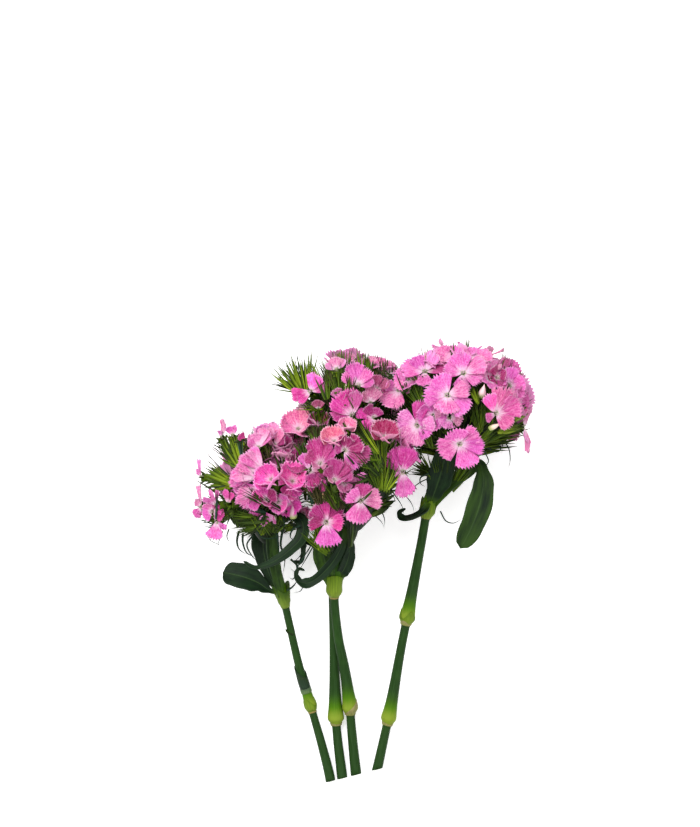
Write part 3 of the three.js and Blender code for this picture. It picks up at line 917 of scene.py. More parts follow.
@dataclass
class Stalk:
    """A jointed stalk: swollen at each joint, thick and bright above it, slim below the next."""

    name: str
    slim: float
    joints: tuple[float, ...]
    route: tuple[Spot, ...]
    flare: float = 1.65  # extra radius above a joint
    sides: int = 24
    rings: int = 60
    fade: float = 20.0  # length over which the flare fades
    swelling: float = 0.5  # extra radius at a joint
    taper: float = 0.018  # how fast the stalk thickens under its lowest joint
    bulge: tuple[float, float] = (4.5, 2.4)  # reach of a swelling up and down the stalk
    ridge: tuple[float, float, float] = (0.35, 3.4, 0.5)  # share, drop and reach of the ridge under it
    flare_drop: float = 2.3  # reach of the flare under its joint
    glow: float = 9.5  # reach of the bright skin above a joint
    scar: tuple[float, float] = (3.2, 0.7)  # drop and reach of the leaf scar
    close_rings: tuple[float, ...] = (-5, -4.2, -3.7, -3.2, -2.6, -2, -1.2, -0.5, 0.4, 1.4, 2.6, 4)
    close_span: float = 5.4
    rind: float = 0.35
    cut_point: tuple[float, float] = (-18.4, -112.2)
    cut_slope: float = math.radians(14.3)

    def radius(self, y: float) -> float:
        """Gives the radius at a height.

        Args:
            y: Height in the layout.

        Returns:
            The radius in millimetres.
        """
        below = [j for j in self.joints if j <= y]
        foot = self.taper * max(0.0, self.joints[0] - y)
        flare = math.exp(-(((y - below[-1]) / self.fade) ** 1.15)) if below else 0.0
        swell, (up, down), (share, drop, reach) = 0.0, self.bulge, self.ridge
        for d in (y - j for j in self.joints):
            swell += math.exp(-((d / (up if d > 0 else down)) ** 2))
            if d < 0:
                flare += (1 - flare) * math.exp(-((d / self.flare_drop) ** 2))
            swell += share * math.exp(-(((d + drop) / reach) ** 2))
        return self.slim + self.flare * flare + self.swelling * swell + foot

    def heights(self) -> list[float]:
        """Gives the heights of the rings: even steps, and close ones round each joint.

        Returns:
            The heights, from the foot up.
        """
        low, high = self.route[0][1], self.route[-1][1]
        even = [low + (high - low) * i / self.rings for i in range(self.rings + 1)]
        near = [j + d for j in self.joints for d in self.close_rings]
        clear = [y for y in even if all(abs(y - j) > self.close_span for j in self.joints)]
        return sorted([*clear, *(y for y in near if low < y < high)])

    def traits(self, y: float) -> Colour:
        """Gives how bright a joint makes the skin, and how near its scar is.

        Args:
            y: Height in the layout.

        Returns:
            Glow, scar and nothing, as the skin reads them.
        """
        below = [j for j in self.joints if j <= y + 3.0]
        glow = 0.0 if not below else math.exp(-(max(0.0, (y - below[-1]) / self.glow) ** 1.5))
        drop, reach = self.scar
        scar = max(math.exp(-(((y - j + drop) / reach) ** 2)) for j in self.joints)
        return glow, scar, 0.0

    def spine(self) -> Spine:
        """Gives the middle line."""
        return Spine(self.route)

    def parameter(self, spine: Spine, y: float) -> float:
        """Finds where the middle line reaches a height, by halving.

        Args:
            spine: The middle line.
            y: The height.

        Returns:
            Share of the way along the line.
        """
        low, high = 0.0, 1.0
        for _ in range(24):
            middle = (low + high) / 2
            low, high = (middle, high) if spine.at(middle).y < y else (low, middle)
        return low

    def build(self, skin: Material, pith: Material) -> None:
        """Makes the stalk, cuts its foot on the slant and sets the pith in the rind.

        Args:
            skin: Material of its skin.
            pith: Material of its cut end.
        """
        heights, spine = self.heights(), self.spine()
        places = [self.parameter(spine, y) for y in heights]
        count = len(heights) - 1
        mould = Mould(f"stem_{self.name}")

        def place(p: Vector) -> Vector:
            """Bends the unit tube along the route.

            Args:
                p: The point.

            Returns:
                Its place in the layout, in millimetres.
            """
            i = round(p.z * count)
            point, side, normal = spine.frame(places[i])
            r = self.radius(heights[i])
            return point + side * (p.x * r) + normal * (p.y * r)

        unit = Unit.tube(self.sides, count)
        mould.add(unit, place, traits=lambda p: self.traits(heights[round(p.z * count)]))
        through = (Vector((*self.cut_point, 0)) + SHIFT) * MM
        way = Vector((-math.sin(self.cut_slope), math.cos(self.cut_slope), 0))
        bm = mould.bm
        cut = bmesh.ops.bisect_plane(
            bm, geom=[*bm.verts, *bm.edges, *bm.faces], plane_co=through, plane_no=way, clear_inner=True
        )
        rim = [g for g in cut["geom_cut"] if isinstance(g, bmesh.types.BMEdge)]
        end = bmesh.ops.edgeloop_fill(bm, edges=rim, mat_nr=1)["faces"]
        bmesh.ops.recalc_face_normals(bm, faces=bm.faces)
        top = [e for e in bm.edges if e.is_boundary]
        bmesh.ops.edgeloop_fill(bm, edges=top)
        bmesh.ops.inset_region(bm, faces=end, thickness=self.rind * MM, depth=-0.1 * MM)
        mould.finish([skin, pith], "stalk", [f"stalk_{self.name}"])


@dataclass
class Collar:
    """Fused leaf feet round a joint: a funnel, or a thin sheath or scale that follows the stalk."""

    stalk: Stalk
    foot: float
    height: float
    colours: tuple[Colour, Colour]
    mouth: float = 0.0  # radius of a funnel's mouth
    belly: float = 1.5  # how soon a funnel widens
    lobes: int = 2
    turn: float = 0.0
    notch: float = 0.4
    gap: float = 0.12

    def add_to(self, mould: Mould, unit: bpy.types.Mesh) -> None:
        """Wraps the collar round its joint.

        Args:
            mould: The piece that it joins.
            unit: A unit tube.
        """
        spine = self.stalk.spine()
        slim = self.stalk.slim

        def place(p: Vector) -> Vector:
            """Wraps the unit tube round the stalk.

            Args:
                p: The point.

            Returns:
                Its place in the layout, in millimetres.
            """
            angle = math.atan2(p.y, p.x) + self.turn
            lobe = 0.5 + 0.5 * math.cos(self.lobes * angle)
            rise = p.z * (1 - self.notch + self.notch * lobe**0.8)
            y = self.foot + self.height * rise
            point, side, normal = spine.frame(self.stalk.parameter(spine, y))
            funnel = blend(slim, self.mouth, 1 - (1 - rise) ** self.belly)
            r = max(funnel, self.stalk.radius(y) + self.gap * min(1.0, 6 * p.z))
            return point + side * (p.x * r) + normal * (p.y * r)

        low, high = self.colours
        mould.add(
            unit,
            place,
            tint=lambda p: tuple(blend(a, b, p.z) for a, b in zip(low, high)),
            traits=(0.1, self.foot * 0.01, 0.0),
        )


# --- leaves


@dataclass
class Leaf:
    """A thin satiny blade along its spine, folded a little on its midrib."""

    stem: str
    name: str
    face: Spot
    width: float
    broadest: float
    spine: tuple[Spot, ...]
    fresh: float = 0.0  # how yellow-green it is
    wave: float = 0.35  # height of its edges' waves
    fold: float = 0.22  # how far it folds, as a share of its half width
    clasp: float = 0.45  # width of its foot, as a share of the widest
    thickness: float = 0.55
    columns: int = 12
    rows: int = 44
    profile: tuple[float, ...] = ()  # widths at even steps, for a blade that isn't a plain one

    def share(self, t: float) -> float:
        """Gives the width at t as a share of the widest.

        Args:
            t: Share of the way along the leaf.

        Returns:
            The share.
        """
        if self.profile:
            last = len(self.profile) - 1
            i = min(int(last * t), last - 1)
            w = last * t - i
            ease = math.sqrt(max(0.0, 1 - w * w)) if i == last - 1 else 0.5 + 0.5 * math.cos(math.pi * w)
            return blend(self.profile[i + 1], self.profile[i], ease) / self.width
        if t < self.broadest:
            return self.clasp + (1 - self.clasp) * math.sin(math.pi / 2 * t / self.broadest)
        return math.sqrt(max(0.0, 1 - ((t - self.broadest) / (1 - self.broadest)) ** 2))

    def build(self, skin: Material, seed: int) -> None:
        """Makes the leaf.

        Args:
            skin: Its material.
            seed: Sets its waves and pattern.
        """
        spine = Spine(self.spine, self.face)
        mould = Mould(f"blade_{self.stem}_{self.name}")

        def place(p: Vector) -> Vector:
            """Bends the unit blade along the spine.

            Args:
                p: The point.

            Returns:
                Its place in the layout, in millimetres.
            """
            point, side, normal = spine.frame(p.y)
            half = self.width * self.share(p.y) / 2
            ripple = self.wave * math.sin(9 * p.y + 2.1 * seed + 1.3 * p.x) * p.x * p.x
            raised = self.fold * abs(p.x) ** 1.4 * half + ripple
            return point + side * (p.x * half) + normal * raised

        unit = Unit.blade(self.columns, self.rows)
        mould.add(unit, place, traits=(self.fresh, 0, 0), seed=seed * 1.7)
        node = f"leaf_{self.stem}_{self.name}"
        mould.finish([skin], "leaf", [node], self.thickness)


# --- blooms


@dataclass(frozen=True)
class Dome:
    """The rounded outline of a flower head."""

    centre: Vector
    radii: Vector
    tufts: tuple[tuple[float, float], ...] = ()
    tuft_reach: float = 17.0

    def in_tuft(self, point: Vector) -> bool:
        """Tells whether a point is where the head has a brush of green in place of blooms."""
        return any(math.hypot(x - point.x, y - point.y) < self.tuft_reach for x, y in self.tufts)

    def point(self, axis: float, angle: float, share: float) -> Vector:
        """Gives a point by its height along the dome's axis, its angle and its depth.

        Args:
            axis: Height on the axis, from -1 to 1.
            angle: Angle round the axis.
            share: Depth: 1 is the outline.

        Returns:
            The point.
        """
        ring = math.sqrt(1 - axis * axis)
        way = Vector((ring * math.cos(angle), axis, ring * math.sin(angle)))
        return way * self.radii * share + self.centre

    def facing(self, point: Vector) -> Vector:
        """Gives the way that the dome faces at a point."""
        d = point - self.centre
        return Vector([a / r / r for a, r in zip(d, self.radii)]).normalized()

    def depth(self, point: Vector) -> float:
        """Tells how deep a point lies: under 1 inside, over 1 outside."""
        d = point - self.centre
        return Vector([a / r for a, r in zip(d, self.radii)]).length

    @property
    def heart(self) -> Vector:
        """The point where the calyces meet."""
        return self.centre + Vector((0, -0.62 * self.radii.y, 0))


@dataclass(frozen=True)
class Petal:
    """One petal: its tip from the middle of the bloom, its half width, its own tint if it has one,
    and how far one edge stands over the other."""

    tip: Vector
    half: float
    tint: "Tint | None" = None
    twist: float = 0.11


@dataclass
class Bloom:
    """A bloom on its calyx, with its petals as they lie."""

    centre: Vector
    facing: Vector
    tint: Tint
    seed: int
    petals: tuple[Petal, ...]
    hidden: bool = False
    rows: int = 8
    notch: float = 0.15

    @classmethod
    def even(
        cls,
        centre: Vector,
        facing: Vector,
        radius: float,
        cup: float,
        tint: Tint,
        seed: int,
        hidden: bool = True,
    ) -> "Bloom":
        """Makes a bloom with five petals that differ a little.

        Args:
            centre: Its middle.
            facing: The way that it looks.
            radius: Its radius in millimetres.
            cup: How far its petals rise, in degrees.
            tint: Its tint.
            seed: Sets the small differences.
            hidden: Whether it stands where its throat isn't seen.

        Returns:
            The bloom.
        """
        dice = random.Random(seed)
        spin, petals = dice.uniform(0, 2 * math.pi), []
        for k in range(5):
            out = spoke(facing, spin - math.radians(72 * k + dice.uniform(-5, 5)))
            rise = math.radians(cup + dice.uniform(-6, 7))
            reach = radius * dice.uniform(0.92, 1.03)
            tip = (out * math.cos(rise) + facing * math.sin(rise)) * reach
            petals.append(Petal(tip, reach * dice.uniform(0.57, 0.64)))
        return cls(centre, facing, tint, seed, tuple(petals), hidden)

    def bend(self, petal: Petal, dice: random.Random, columns: int) -> Place:
        """Gives the bend that makes a unit blade into one petal.

        Args:
            petal: The petal.
            dice: Source of its small differences.
            columns: Faces across the unit blade: two make a tooth.

        Returns:
            The bend.
        """
        length = petal.tip.length
        way = petal.tip / length
        side = way.cross(self.facing)
        if side.length < 0.15:
            side = way.cross(Vector((0.2, 1, 0.1)))
        side.normalize()
        normal = side.cross(way)
        half, claw = math.asin(min(0.92, 1.08 * petal.half / length)), 1 / self.rows
        rise = max(0.0, way.dot(self.facing))
        deep = self.notch * min(1.0, petal.half / 4.5)
        teeth = [
            dice.uniform(0.4, 1.3) * deep if i % 2 else dice.uniform(-0.03, 0.045)
            for i in range(columns + 1)
        ]
        lop = dice.uniform(-0.06, 0.06)
        bowl = (dice.uniform(-0.02, 0.05) + 0.14 * min(0.6, rise)) * length
        roll = dice.uniform(-0.03, 0.1) * length * (1.3 - rise)
        hollow = dice.uniform(-0.2, 0.16)
        wave, phase = dice.uniform(0.035, 0.08) * length, dice.uniform(0, 6.3)
        pleat, pitch = 0.019 * length, dice.uniform(8, 12)

        def place(p: Vector) -> Vector:
            """Moves a point of the unit blade.

            Args:
                p: The point.

            Returns:
                Its place in the layout, in millimetres.
            """
            u = p.x
            if p.y < claw - 1e-4:
                return self.centre + way * 0.5 + side * (0.35 * u) - self.facing * 2.2
            k = max(0.0, (p.y - claw) / (1 - claw))
            rim = 1 + lop * u - 0.05 * u * u - 0.09 * abs(u) ** 5
            if k > 0.999:
                rim -= teeth[round((u + 1) / 2 * columns)]
            rho = 0.85 + (length * rim - 0.85) * k
            turn = u * half
            wide = 0.6 * u * (1 - k) + length * math.sin(turn) * k**0.78
            z = petal.twist * wide + hollow * wide * wide / length - bowl * math.sin(math.pi * k)
            z += wave * k * k * math.sin(3.4 * u + phase) - roll * k**3
            z += pleat * k * math.sin(pitch * u + phase)
            return self.centre + way * (rho * math.cos(turn)) + side * wide + normal * z

        return place


FILLERS = (Tint.ORCHID, Tint.MAUVE, Tint.LIGHT, Tint.BRIGHT, Tint.DUSTY, Tint.PALE)
STYLE_RADIUS, STYLE_COLOUR = 0.22, (0.72, 0.52, 0.62)
ANTHER_RADIUS, ANTHER_COLOUR = 0.28, (0.55, 0.44, 0.46)


@dataclass(frozen=True)
class Spiral:
    """Places on a spiral round a dome, for the blooms that fill a head."""

    count: int
    first: float  # where it starts on the dome's axis
    run: float  # how far it runs down the axis
    share: float  # how deep in the dome
    room: float  # least distance between two blooms, in millimetres
    clear: float  # how deep in another dome is too near
    seed: int

    def spots(self, head: "Head") -> Iterator[tuple[int, Vector, Vector]]:
        """Goes through the places that have room, as the head fills up.

        Args:
            head: The head that is filled.

        Returns:
            Each place's number, its point and the way that it faces.
        """
        for i in range(self.count):
            axis = self.first - self.run * ((i + 0.5) / self.count)
            spot = head.dome.point(axis, i * GOLDEN_ANGLE, self.share)
            crowded = any((b.centre - spot).length < self.room for b in head.standing + head.under)
            covered = any(d.depth(spot) < self.clear for d in head.others)
            if not (crowded or covered):
                yield i, spot, head.dome.facing(spot)


@dataclass
class Head:
    """A dense domed head: green calyces and bracts, with the blooms standing on them."""

    name: str
    dome: Dome
    core: tuple[Spot, Spot]
    blooms: tuple[tuple, ...]
    buds: tuple[tuple, ...]
    pressed: tuple[tuple[float, float], ...]
    sheaves: tuple[tuple, ...]
    threads: tuple[tuple, ...]
    index: int = 0
    others: tuple[Dome, ...] = ()  # the outlines of the other heads
    columns: int = 18  # faces across a petal
    petal_thickness: float = 0.3
    behind: Spiral = Spiral(46, 1, 1.2, 0.92, 16.5, 1.1, 900)
    back_radius: float = 12.0
    back_cups: tuple[float, float] = (14, 32)  # how far their petals rise, in degrees
    back_top: float = 0.12  # blooms behind stay under this share of the dome
    back_bottom: float = 4.8
    beneath: Spiral = Spiral(90, 0.96, 1.3, 0.86, 12.5, 1.05, 1000)
    underside: float = -0.35  # what faces down more than this is the underside
    low_radii: tuple[float, float] = (9.5, 11.0)
    low_cup: float = 12.0
    low_clearance: float = 0.8
    tuft_edge: float = 0.8
    pressed_radius: float = 11.5
    pressed_height: float = 0.5
    painted_shade_depth: float = 0.93  # blooms deeper in the dome than this get painted shade
    painted_shade_rate: float = 2.6
    painted_shade_limit: float = 0.5
    standing: list[Bloom] = field(default_factory=list)
    under: list[Bloom] = field(default_factory=list)

    def place_blooms(self) -> None:
        """Stands the blooms: as listed on the front, pressed on the floor, and on spirals elsewhere."""
        for k, (x, y, z, turn, tilt, tint, rows) in enumerate(self.blooms):
            spot, facing, seed = Vector((x, y, z)), look_along(turn, tilt), 100 * self.index + k
            if not isinstance(rows[0], tuple):
                self.standing.append(Bloom.even(spot, facing, *rows, tint, seed, False))
                continue
            laid = tuple(Petal(Vector(r[:3]), r[3], r[4] if len(r) > 4 else None) for r in rows)
            self.standing.append(Bloom(spot, facing, tint, seed, laid))
        for x, y in self.pressed:
            spot = Vector((x, y, self.pressed_height))
            self.standing.append(Bloom.even(spot, -UP, self.pressed_radius, 0, Tint.MAUVE, int(10 * x)))
        self.stand_behind()
        self.stand_beneath()

    def stand_behind(self) -> None:
        """Fills the head's back with full blooms."""
        top, bottom = self.dome.centre.z + self.back_top * self.dome.radii.z, self.back_bottom
        for i, spot, facing in self.behind.spots(self):
            if spot.z > top or spot.z < bottom or self.dome.in_tuft(spot):
                continue
            cup, tint = blend(*self.back_cups, fraction(i, self.index)), FILLERS[i % len(FILLERS)]
            self.standing.append(Bloom.even(spot, facing, self.back_radius, cup, tint, self.behind.seed + i))

    def stand_beneath(self) -> None:
        """Fills the underside with smaller blooms that don't show past the head from above."""
        for i, spot, facing in self.beneath.spots(self):
            radius = blend(*self.low_radii, fraction(i, self.index))
            low = spot.z - radius * math.hypot(facing.x, facing.y) < self.low_clearance
            edge = spot - Vector((facing.x, facing.y, 0)).normalized() * (radius * facing.z)
            edge.z = self.dome.centre.z
            wide = self.dome.depth(edge) > (self.tuft_edge if self.dome.in_tuft(spot) else 1.0)
            if facing.z < self.underside and not (low or wide):
                tint = FILLERS[i % len(FILLERS)]
                seed = self.beneath.seed + i
                self.under.append(Bloom.even(spot, facing, radius, self.low_cup, tint, seed))

    def build_petals(self, face: Material, back: Material) -> BVHTree:
        """Makes all petals of the head.

        Args:
            face: Material of their upper face.
            back: Material of their underside.

        Returns:
            The petals, for rays to be sent at.
        """
        mould = Mould(f"petals_{self.name}")
        unit = Unit.blade(self.columns, Bloom.rows)
        for bloom in self.standing + self.under:
            dice = random.Random(bloom.seed * 31 + self.index)
            # Painted shade: a bloom sunk deeper in the dome gets darker colours and a dimmer pale star and
            # rim.
            deep = self.painted_shade_rate * (self.painted_shade_depth - self.dome.depth(bloom.centre))
            sink_shade = min(1.0, max(self.painted_shade_limit, 1 - deep))
            warm = dice.uniform(0.94, 1.06) * sink_shade
            for k, petal in enumerate(bloom.petals):
                tint = petal.tint or bloom.tint
                tone_and_shade, hue = warm * dice.uniform(0.90, 1.06), dice.uniform(-0.09, 0.09)
                shift = (tone_and_shade, tone_and_shade * (1 + 1.6 * hue), tone_and_shade * (1 - hue))
                colour = tuple(c * f for c, f in zip(tint.colour, shift))
                depth, rim, heart = tint.traits
                traits = (depth, rim * sink_shade**2, heart * sink_shade)
                place = bloom.bend(petal, dice, self.columns)
                mould.add(unit, place, colour, traits, bloom.seed * 0.37 + k)
        tree = mould.tree()
        nodes = [n for n in sorted(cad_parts) if n.startswith(f"blooms_{self.name}_")]
        mould.finish([face, back], "petal", nodes, self.petal_thickness, 1)
        return tree

    def build_styles(self, silk: Material) -> None:
        """Makes the styles and anthers in the throats, and the closed buds.

        Args:
            silk: Their material.
        """
        mould = Mould(f"styles_{self.name}")
        spike, tube, bead = Unit.tube(5, 4, pointed=True), Unit.tube(10, 10, pointed=True), Unit.bead()
        for bloom in (b for b in self.standing if not b.hidden and len(b.petals) > 3):
            dice = random.Random(bloom.seed + 5)
            start = bloom.centre - bloom.facing * 1.5
            for k in range(2):
                out = spoke(bloom.facing, dice.uniform(0, 6.3))
                end = bloom.centre + bloom.facing * dice.uniform(2.2, 3.4) + out * dice.uniform(0.8, 2.2)
                arc = Spine.arc(start, bloom.centre + bloom.facing * 2.2, end, (0.3, 0.2, 1))
                mould.add(spike, arc.tube(lambda t: STYLE_RADIUS), STYLE_COLOUR)
            for k in range(3):
                out = spoke(bloom.facing, math.radians(120 * k + dice.uniform(-35, 35)))
                spot = bloom.centre + bloom.facing * dice.uniform(0.2, 1.2) + out * dice.uniform(0.4, 1.0)
                mould.add(bead, lambda p, s=spot: s + p * ANTHER_RADIUS, ANTHER_COLOUR, seed=0.9)
        for x, y, z, dx, dy, dz, radius, colour in self.buds:
            root, tip = Vector((x, y, z)), Vector((x + dx, y + dy, z + dz))
            arc = Spine.arc(root, root.lerp(tip, 0.5) + Vector((0, 0, 0.6)), tip, (0.2, 0.3, 1))
            bend = arc.tube(lambda t, r=radius: r * math.sin(math.pi * min(1, 0.16 + 0.8 * t)) ** 0.7 + 0.2)
            mould.add(tube, bend, colour)
        mould.finish([silk], "petal")


class Shade(Enum):
    """A run of greens: the darkest, the lightest, and how dark the tips turn."""

    DARK = ((0.006, 0.014, 0.003), (0.040, 0.072, 0.007), 0.5)
    MID = ((0.022, 0.046, 0.003), (0.088, 0.150, 0.006), 0.7)
    FRESH = ((0.080, 0.135, 0.004), (0.220, 0.300, 0.010), 0.85)
    BROWN = ((0.022, 0.014, 0.007), (0.085, 0.070, 0.022), 0.5)
    BLUE = ((0.012, 0.034, 0.020), (0.032, 0.075, 0.044), 0.4)
    ANY = ((0.008, 0.020, 0.004), (0.105, 0.165, 0.008), 0.75)

    def pick(self, dice: random.Random) -> Colour:
        """Gives a green of the run."""
        t = dice.random()
        return tuple(blend(a, b, t) for a, b in zip(*self.value[:2]))

    @property
    def tip(self) -> float:
        """How dark the tips are."""
        return self.value[2]


@dataclass
class Greens:
    """The green of a head: heart, calyces with teeth, awl bracts in sheaves, and curling threads."""

    head: Head
    trees: Sequence[BVHTree]  # the petals of all heads
    bracts: int = 560  # awl bracts that are tried
    rosette: int = 18
    scales: int = 420  # broad bracts that are tried
    heart_steps: int = 14
    calyx_length: float = 14.0
    calyx_foot: float = 1.0
    calyx_mouth: float = 1.95
    calyx_sunk: float = 0.9  # how far a calyx ends under its bloom
    petal_gap: float = 0.7  # how far under a petal a bract stops
    tooth: tuple[float, float] = (3.2, 0.8)  # length and half width of a calyx's teeth
    hug_lengths: tuple[float, float] = (7.5, 11)
    hug_half: float = 0.62
    awl_halves: tuple[float, float] = (0.42, 0.85)
    rosette_lengths: tuple[float, float] = (0.42, 0.72)  # as shares of the dome's radius
    rosette_halves: tuple[float, float] = (0.9, 1.5)
    scale_lengths: tuple[float, float] = (7.5, 12.5)
    scale_halves: tuple[float, float] = (0.95, 1.5)
    thin: float = 0.3  # thickness of the broad bracts as a share of their width
    shortest: float = 3.5
    broad_from: float = 1.15  # bracts of this half width or more are broad ones

    PROFILE: ClassVar[tuple[tuple[float, float], ...]] = (
        (0.02, -1.5), (0.2, -1.4), (0.62, -0.9), (0.98, -0.15), (0.95, 0.45), (0.55, 0.9), (0.02, 1.02)
    )

    def __post_init__(self) -> None:
        """Makes the unit shapes and the dice."""
        self.dice = random.Random(40 + self.head.index)
        self.tube = Unit.tube(10, 8)
        self.spike = Unit.tube(4, 5, pointed=True)
        self.thread = Unit.tube(5, 18, pointed=True)
        self.mould = Mould(f"greens_{self.head.name}")

    def reach(self, root: Vector, way: Vector, length: float) -> float:
        """Tells how far a bract can grow before it meets a petal.

        Args:
            root: Where it starts.
            way: Its unit way.
            length: The length that it wants.

        Returns:
            The length it may have.
        """
        start = (root + SHIFT) * MM
        for tree in self.trees:
            hit = tree.ray_cast(start, way, length * MM)
            if hit[3] is not None:
                length = min(length, hit[3] / MM - self.petal_gap)
        return length

    def blade(
        self,
        root: Vector,
        way: Vector,
        length: float,
        radius: float,
        curl: Vector,
        shade: Shade,
        flat: float = 0.45,
    ) -> None:
        """Adds one bract.

        Args:
            root: Where it starts.
            way: Its unit way at the root.
            length: Its length.
            radius: Half its greatest width.
            curl: How its tip is carried off.
            shade: Its green.
            flat: Its thickness as a share of its width.
        """
        end = root + way * length + curl
        arc = Spine.arc(root, root + way * (0.55 * length), end, BRACT_LOOKS)
        if radius >= self.broad_from:
            bend = arc.tube(lambda t: radius * (0.6 + 0.9 * t) * (1 - t**2.2) / max(1 - t, 0.05), flat)
        else:
            bend = arc.tube(lambda t: radius * (0.75 + 1.3 * t * (1 - t)) / (1 - 0.3 * t), flat)
        traits = (shade.tip, self.dice.random(), 0.0)
        self.mould.add(self.spike, bend, shade.pick(self.dice), traits)

    def add_heart(self) -> None:
        """Spins the heart that the calyces spring from, dark green under painted shade."""
        bm = bmesh.new()
        verts = [bm.verts.new((x, 0, y)) for x, y in self.PROFILE]
        edges = [bm.edges.new(pair) for pair in zip(verts, verts[1:])]
        full = 2 * math.pi
        bmesh.ops.spin(
            bm, geom=[*verts, *edges], axis=UP, angle=full, steps=self.heart_steps, use_merge=True
        )
        bmesh.ops.subdivide_edges(bm, edges=bm.edges, cuts=1, use_grid_fill=True, smooth=0.6)
        bmesh.ops.recalc_face_normals(bm, faces=bm.faces)
        unit = Unit.keep(bm, "unit_heart")
        (centre, radii), dark = self.head.core, Shade.DARK.value[0]
        # The heart gets the darkest green and a large share of painted shadow, as it lies in shade inside
        # the head.
        self.mould.add(
            unit,
            lambda p: Vector((p.x, p.z, p.y)) * Vector(radii) + Vector(centre),
            dark,
            (0.0, 0.3, 0.75),
        )

    def add_calyx(self, bloom: Bloom) -> None:
        """Adds a ribbed calyx tube with its teeth, and the awl bracts that hug it.

        Args:
            bloom: The bloom that it carries.
        """
        heart, facing, dice = self.head.dome.heart, bloom.facing, self.dice
        mouth = bloom.centre - facing * self.calyx_sunk
        arc = Spine.arc(heart, bloom.centre - facing * self.calyx_length, mouth, BRACT_LOOKS)
        narrow, wide = self.calyx_foot, self.calyx_mouth
        bend = arc.tube(lambda t: blend(narrow, wide, min(1, t * 1.6)) + 0.25 * max(0, t - 0.85) / 0.15)
        self.mould.add(self.tube, bend, Shade.MID.pick(dice), (0.0, dice.random(), 0.0))
        for k in range(5):
            out = spoke(facing, math.radians(72 * k + 36))
            way = (facing + out * 0.75).normalized()
            self.blade(mouth + out * 1.5 - facing * 1.5, way, *self.tooth, out * 0.6, Shade.MID)
        for k in range(4 if bloom.hidden else 6):
            out = spoke(facing, math.radians(60 * k + dice.uniform(-20, 20)))
            root = mouth - facing * dice.uniform(8, 11) + out * 1.4
            way = (facing + out * dice.uniform(0.25, 0.6)).normalized()
            length = self.reach(root, way, dice.uniform(*self.hug_lengths))
            if length > 3:
                self.blade(root, way, length, self.hug_half, out * 0.5, Shade.ANY)

    def add_bracts(self) -> None:
        """Fills the head with awl bracts that stop under the petals."""
        dome, dice = self.head.dome, self.dice
        for i in range(self.bracts):
            axis = 1 - 1.62 * ((i + 0.5) / self.bracts)
            tip = dome.point(axis, i * GOLDEN_ANGLE, dice.uniform(0.84, 1.07))
            root = dome.heart.lerp(tip, dice.uniform(0.45, 0.6))
            way = (tip - root).normalized()
            length = self.reach(root, way, (tip - root).length)
            if length < self.shortest or tip.z < 1 or (dome.in_tuft(tip) and tip.z > 8):
                continue
            out = spoke(way, dice.uniform(0, 6.3))
            curl = out * dice.uniform(0, 1.4) if length > 9 else out * 0.3
            shade = Shade.DARK if dice.random() < 0.25 else Shade.ANY
            self.blade(root, way, length, dice.uniform(*self.awl_halves), curl, shade)

    def add_sheaf(self, row: tuple) -> None:
        """Adds bracts that fan from one root.

        Args:
            row: The root, the middle tip, how many, half the spread, the greens and half a width.
        """
        root, tip, (count, spread, shade, radius) = Vector(row[:3]), Vector(row[3:6]), row[6:]
        way, dice = tip - root, self.dice
        long = way.length
        way.normalize()
        side = way.cross(UP)
        side = side.normalized() if side.length > 0.1 else Vector((1, 0, 0))
        for i in range(count):
            share = (2 * (i + 0.5) / count - 1) * 1.1 + dice.uniform(-0.2, 0.2)
            start = root + side * (share * spread * 0.3) + UP * dice.uniform(-1.5, 1.5)
            start -= way * dice.uniform(0, 1.5)
            short = 0.12 * abs(share) + dice.uniform(-0.12, 0.2)
            end = tip + side * (share * spread) - way * (long * short)
            end += UP * dice.uniform(-2, 2)
            run = end - start
            curl = side * (dice.uniform(-0.4, 1.0) * share * min(1.6, 0.3 * spread))
            curl += UP * dice.uniform(-1, 1)
            curl.y += dice.uniform(-0.02, 0.16) * run.length
            self.blade(start, run.normalized(), run.length, radius * dice.uniform(0.8, 1.2), curl, shade)

    def add_thread(self, row: tuple) -> None:
        """Adds one long curling bract.

        Args:
            row: Half its width, then the points it passes through.
        """
        radius, points = row[0], row[1:]
        spine = Spine(points, BRACT_LOOKS)
        bend = spine.tube(lambda t: radius * (0.8 + 0.6 * t * (1 - t)) / (1 - 0.45 * t), 0.6)
        # The threads get a little painted shade.
        traits = (0.5, self.dice.random(), 0.2)
        self.mould.add(self.thread, bend, Shade.BLUE.value[0], traits)

    def add_rosette(self) -> None:
        """Adds the broader bracts that spread under the head."""
        dome, dice = self.head.dome, self.dice
        root = dome.heart - Vector((0, 0.02 * dome.radii.y, 0))
        for i in range(self.rosette):
            angle = 2 * math.pi * i / self.rosette + dice.uniform(-0.15, 0.15)
            out = Vector((math.cos(angle), dice.uniform(-0.12, 0.22), math.sin(angle))).normalized()
            length = dice.uniform(*self.rosette_lengths) * dome.radii.x
            curl = Vector((0, dice.uniform(1.0, 6.0), 0))
            if (root + out * length).z > 2:
                half = dice.uniform(*self.rosette_halves)
                self.blade(root, out, length, half, curl, Shade.ANY, self.thin)

    def skin(self, height: float, angle: float) -> Vector:
        """Gives a point of the heart's skin by its height along the heart and its angle.

        Args:
            height: Height along the heart, from -1.5 to 1.02.
            angle: Angle round it.

        Returns:
            The point.
        """
        centre, radii = self.head.core
        for (a, low), (b, high) in zip(self.PROFILE, self.PROFILE[1:]):
            if height <= high:
                break
        ring = blend(a, b, (height - low) / (high - low))
        way = Vector((ring * math.cos(angle), height, ring * math.sin(angle)))
        return way * Vector(radii) + Vector(centre)

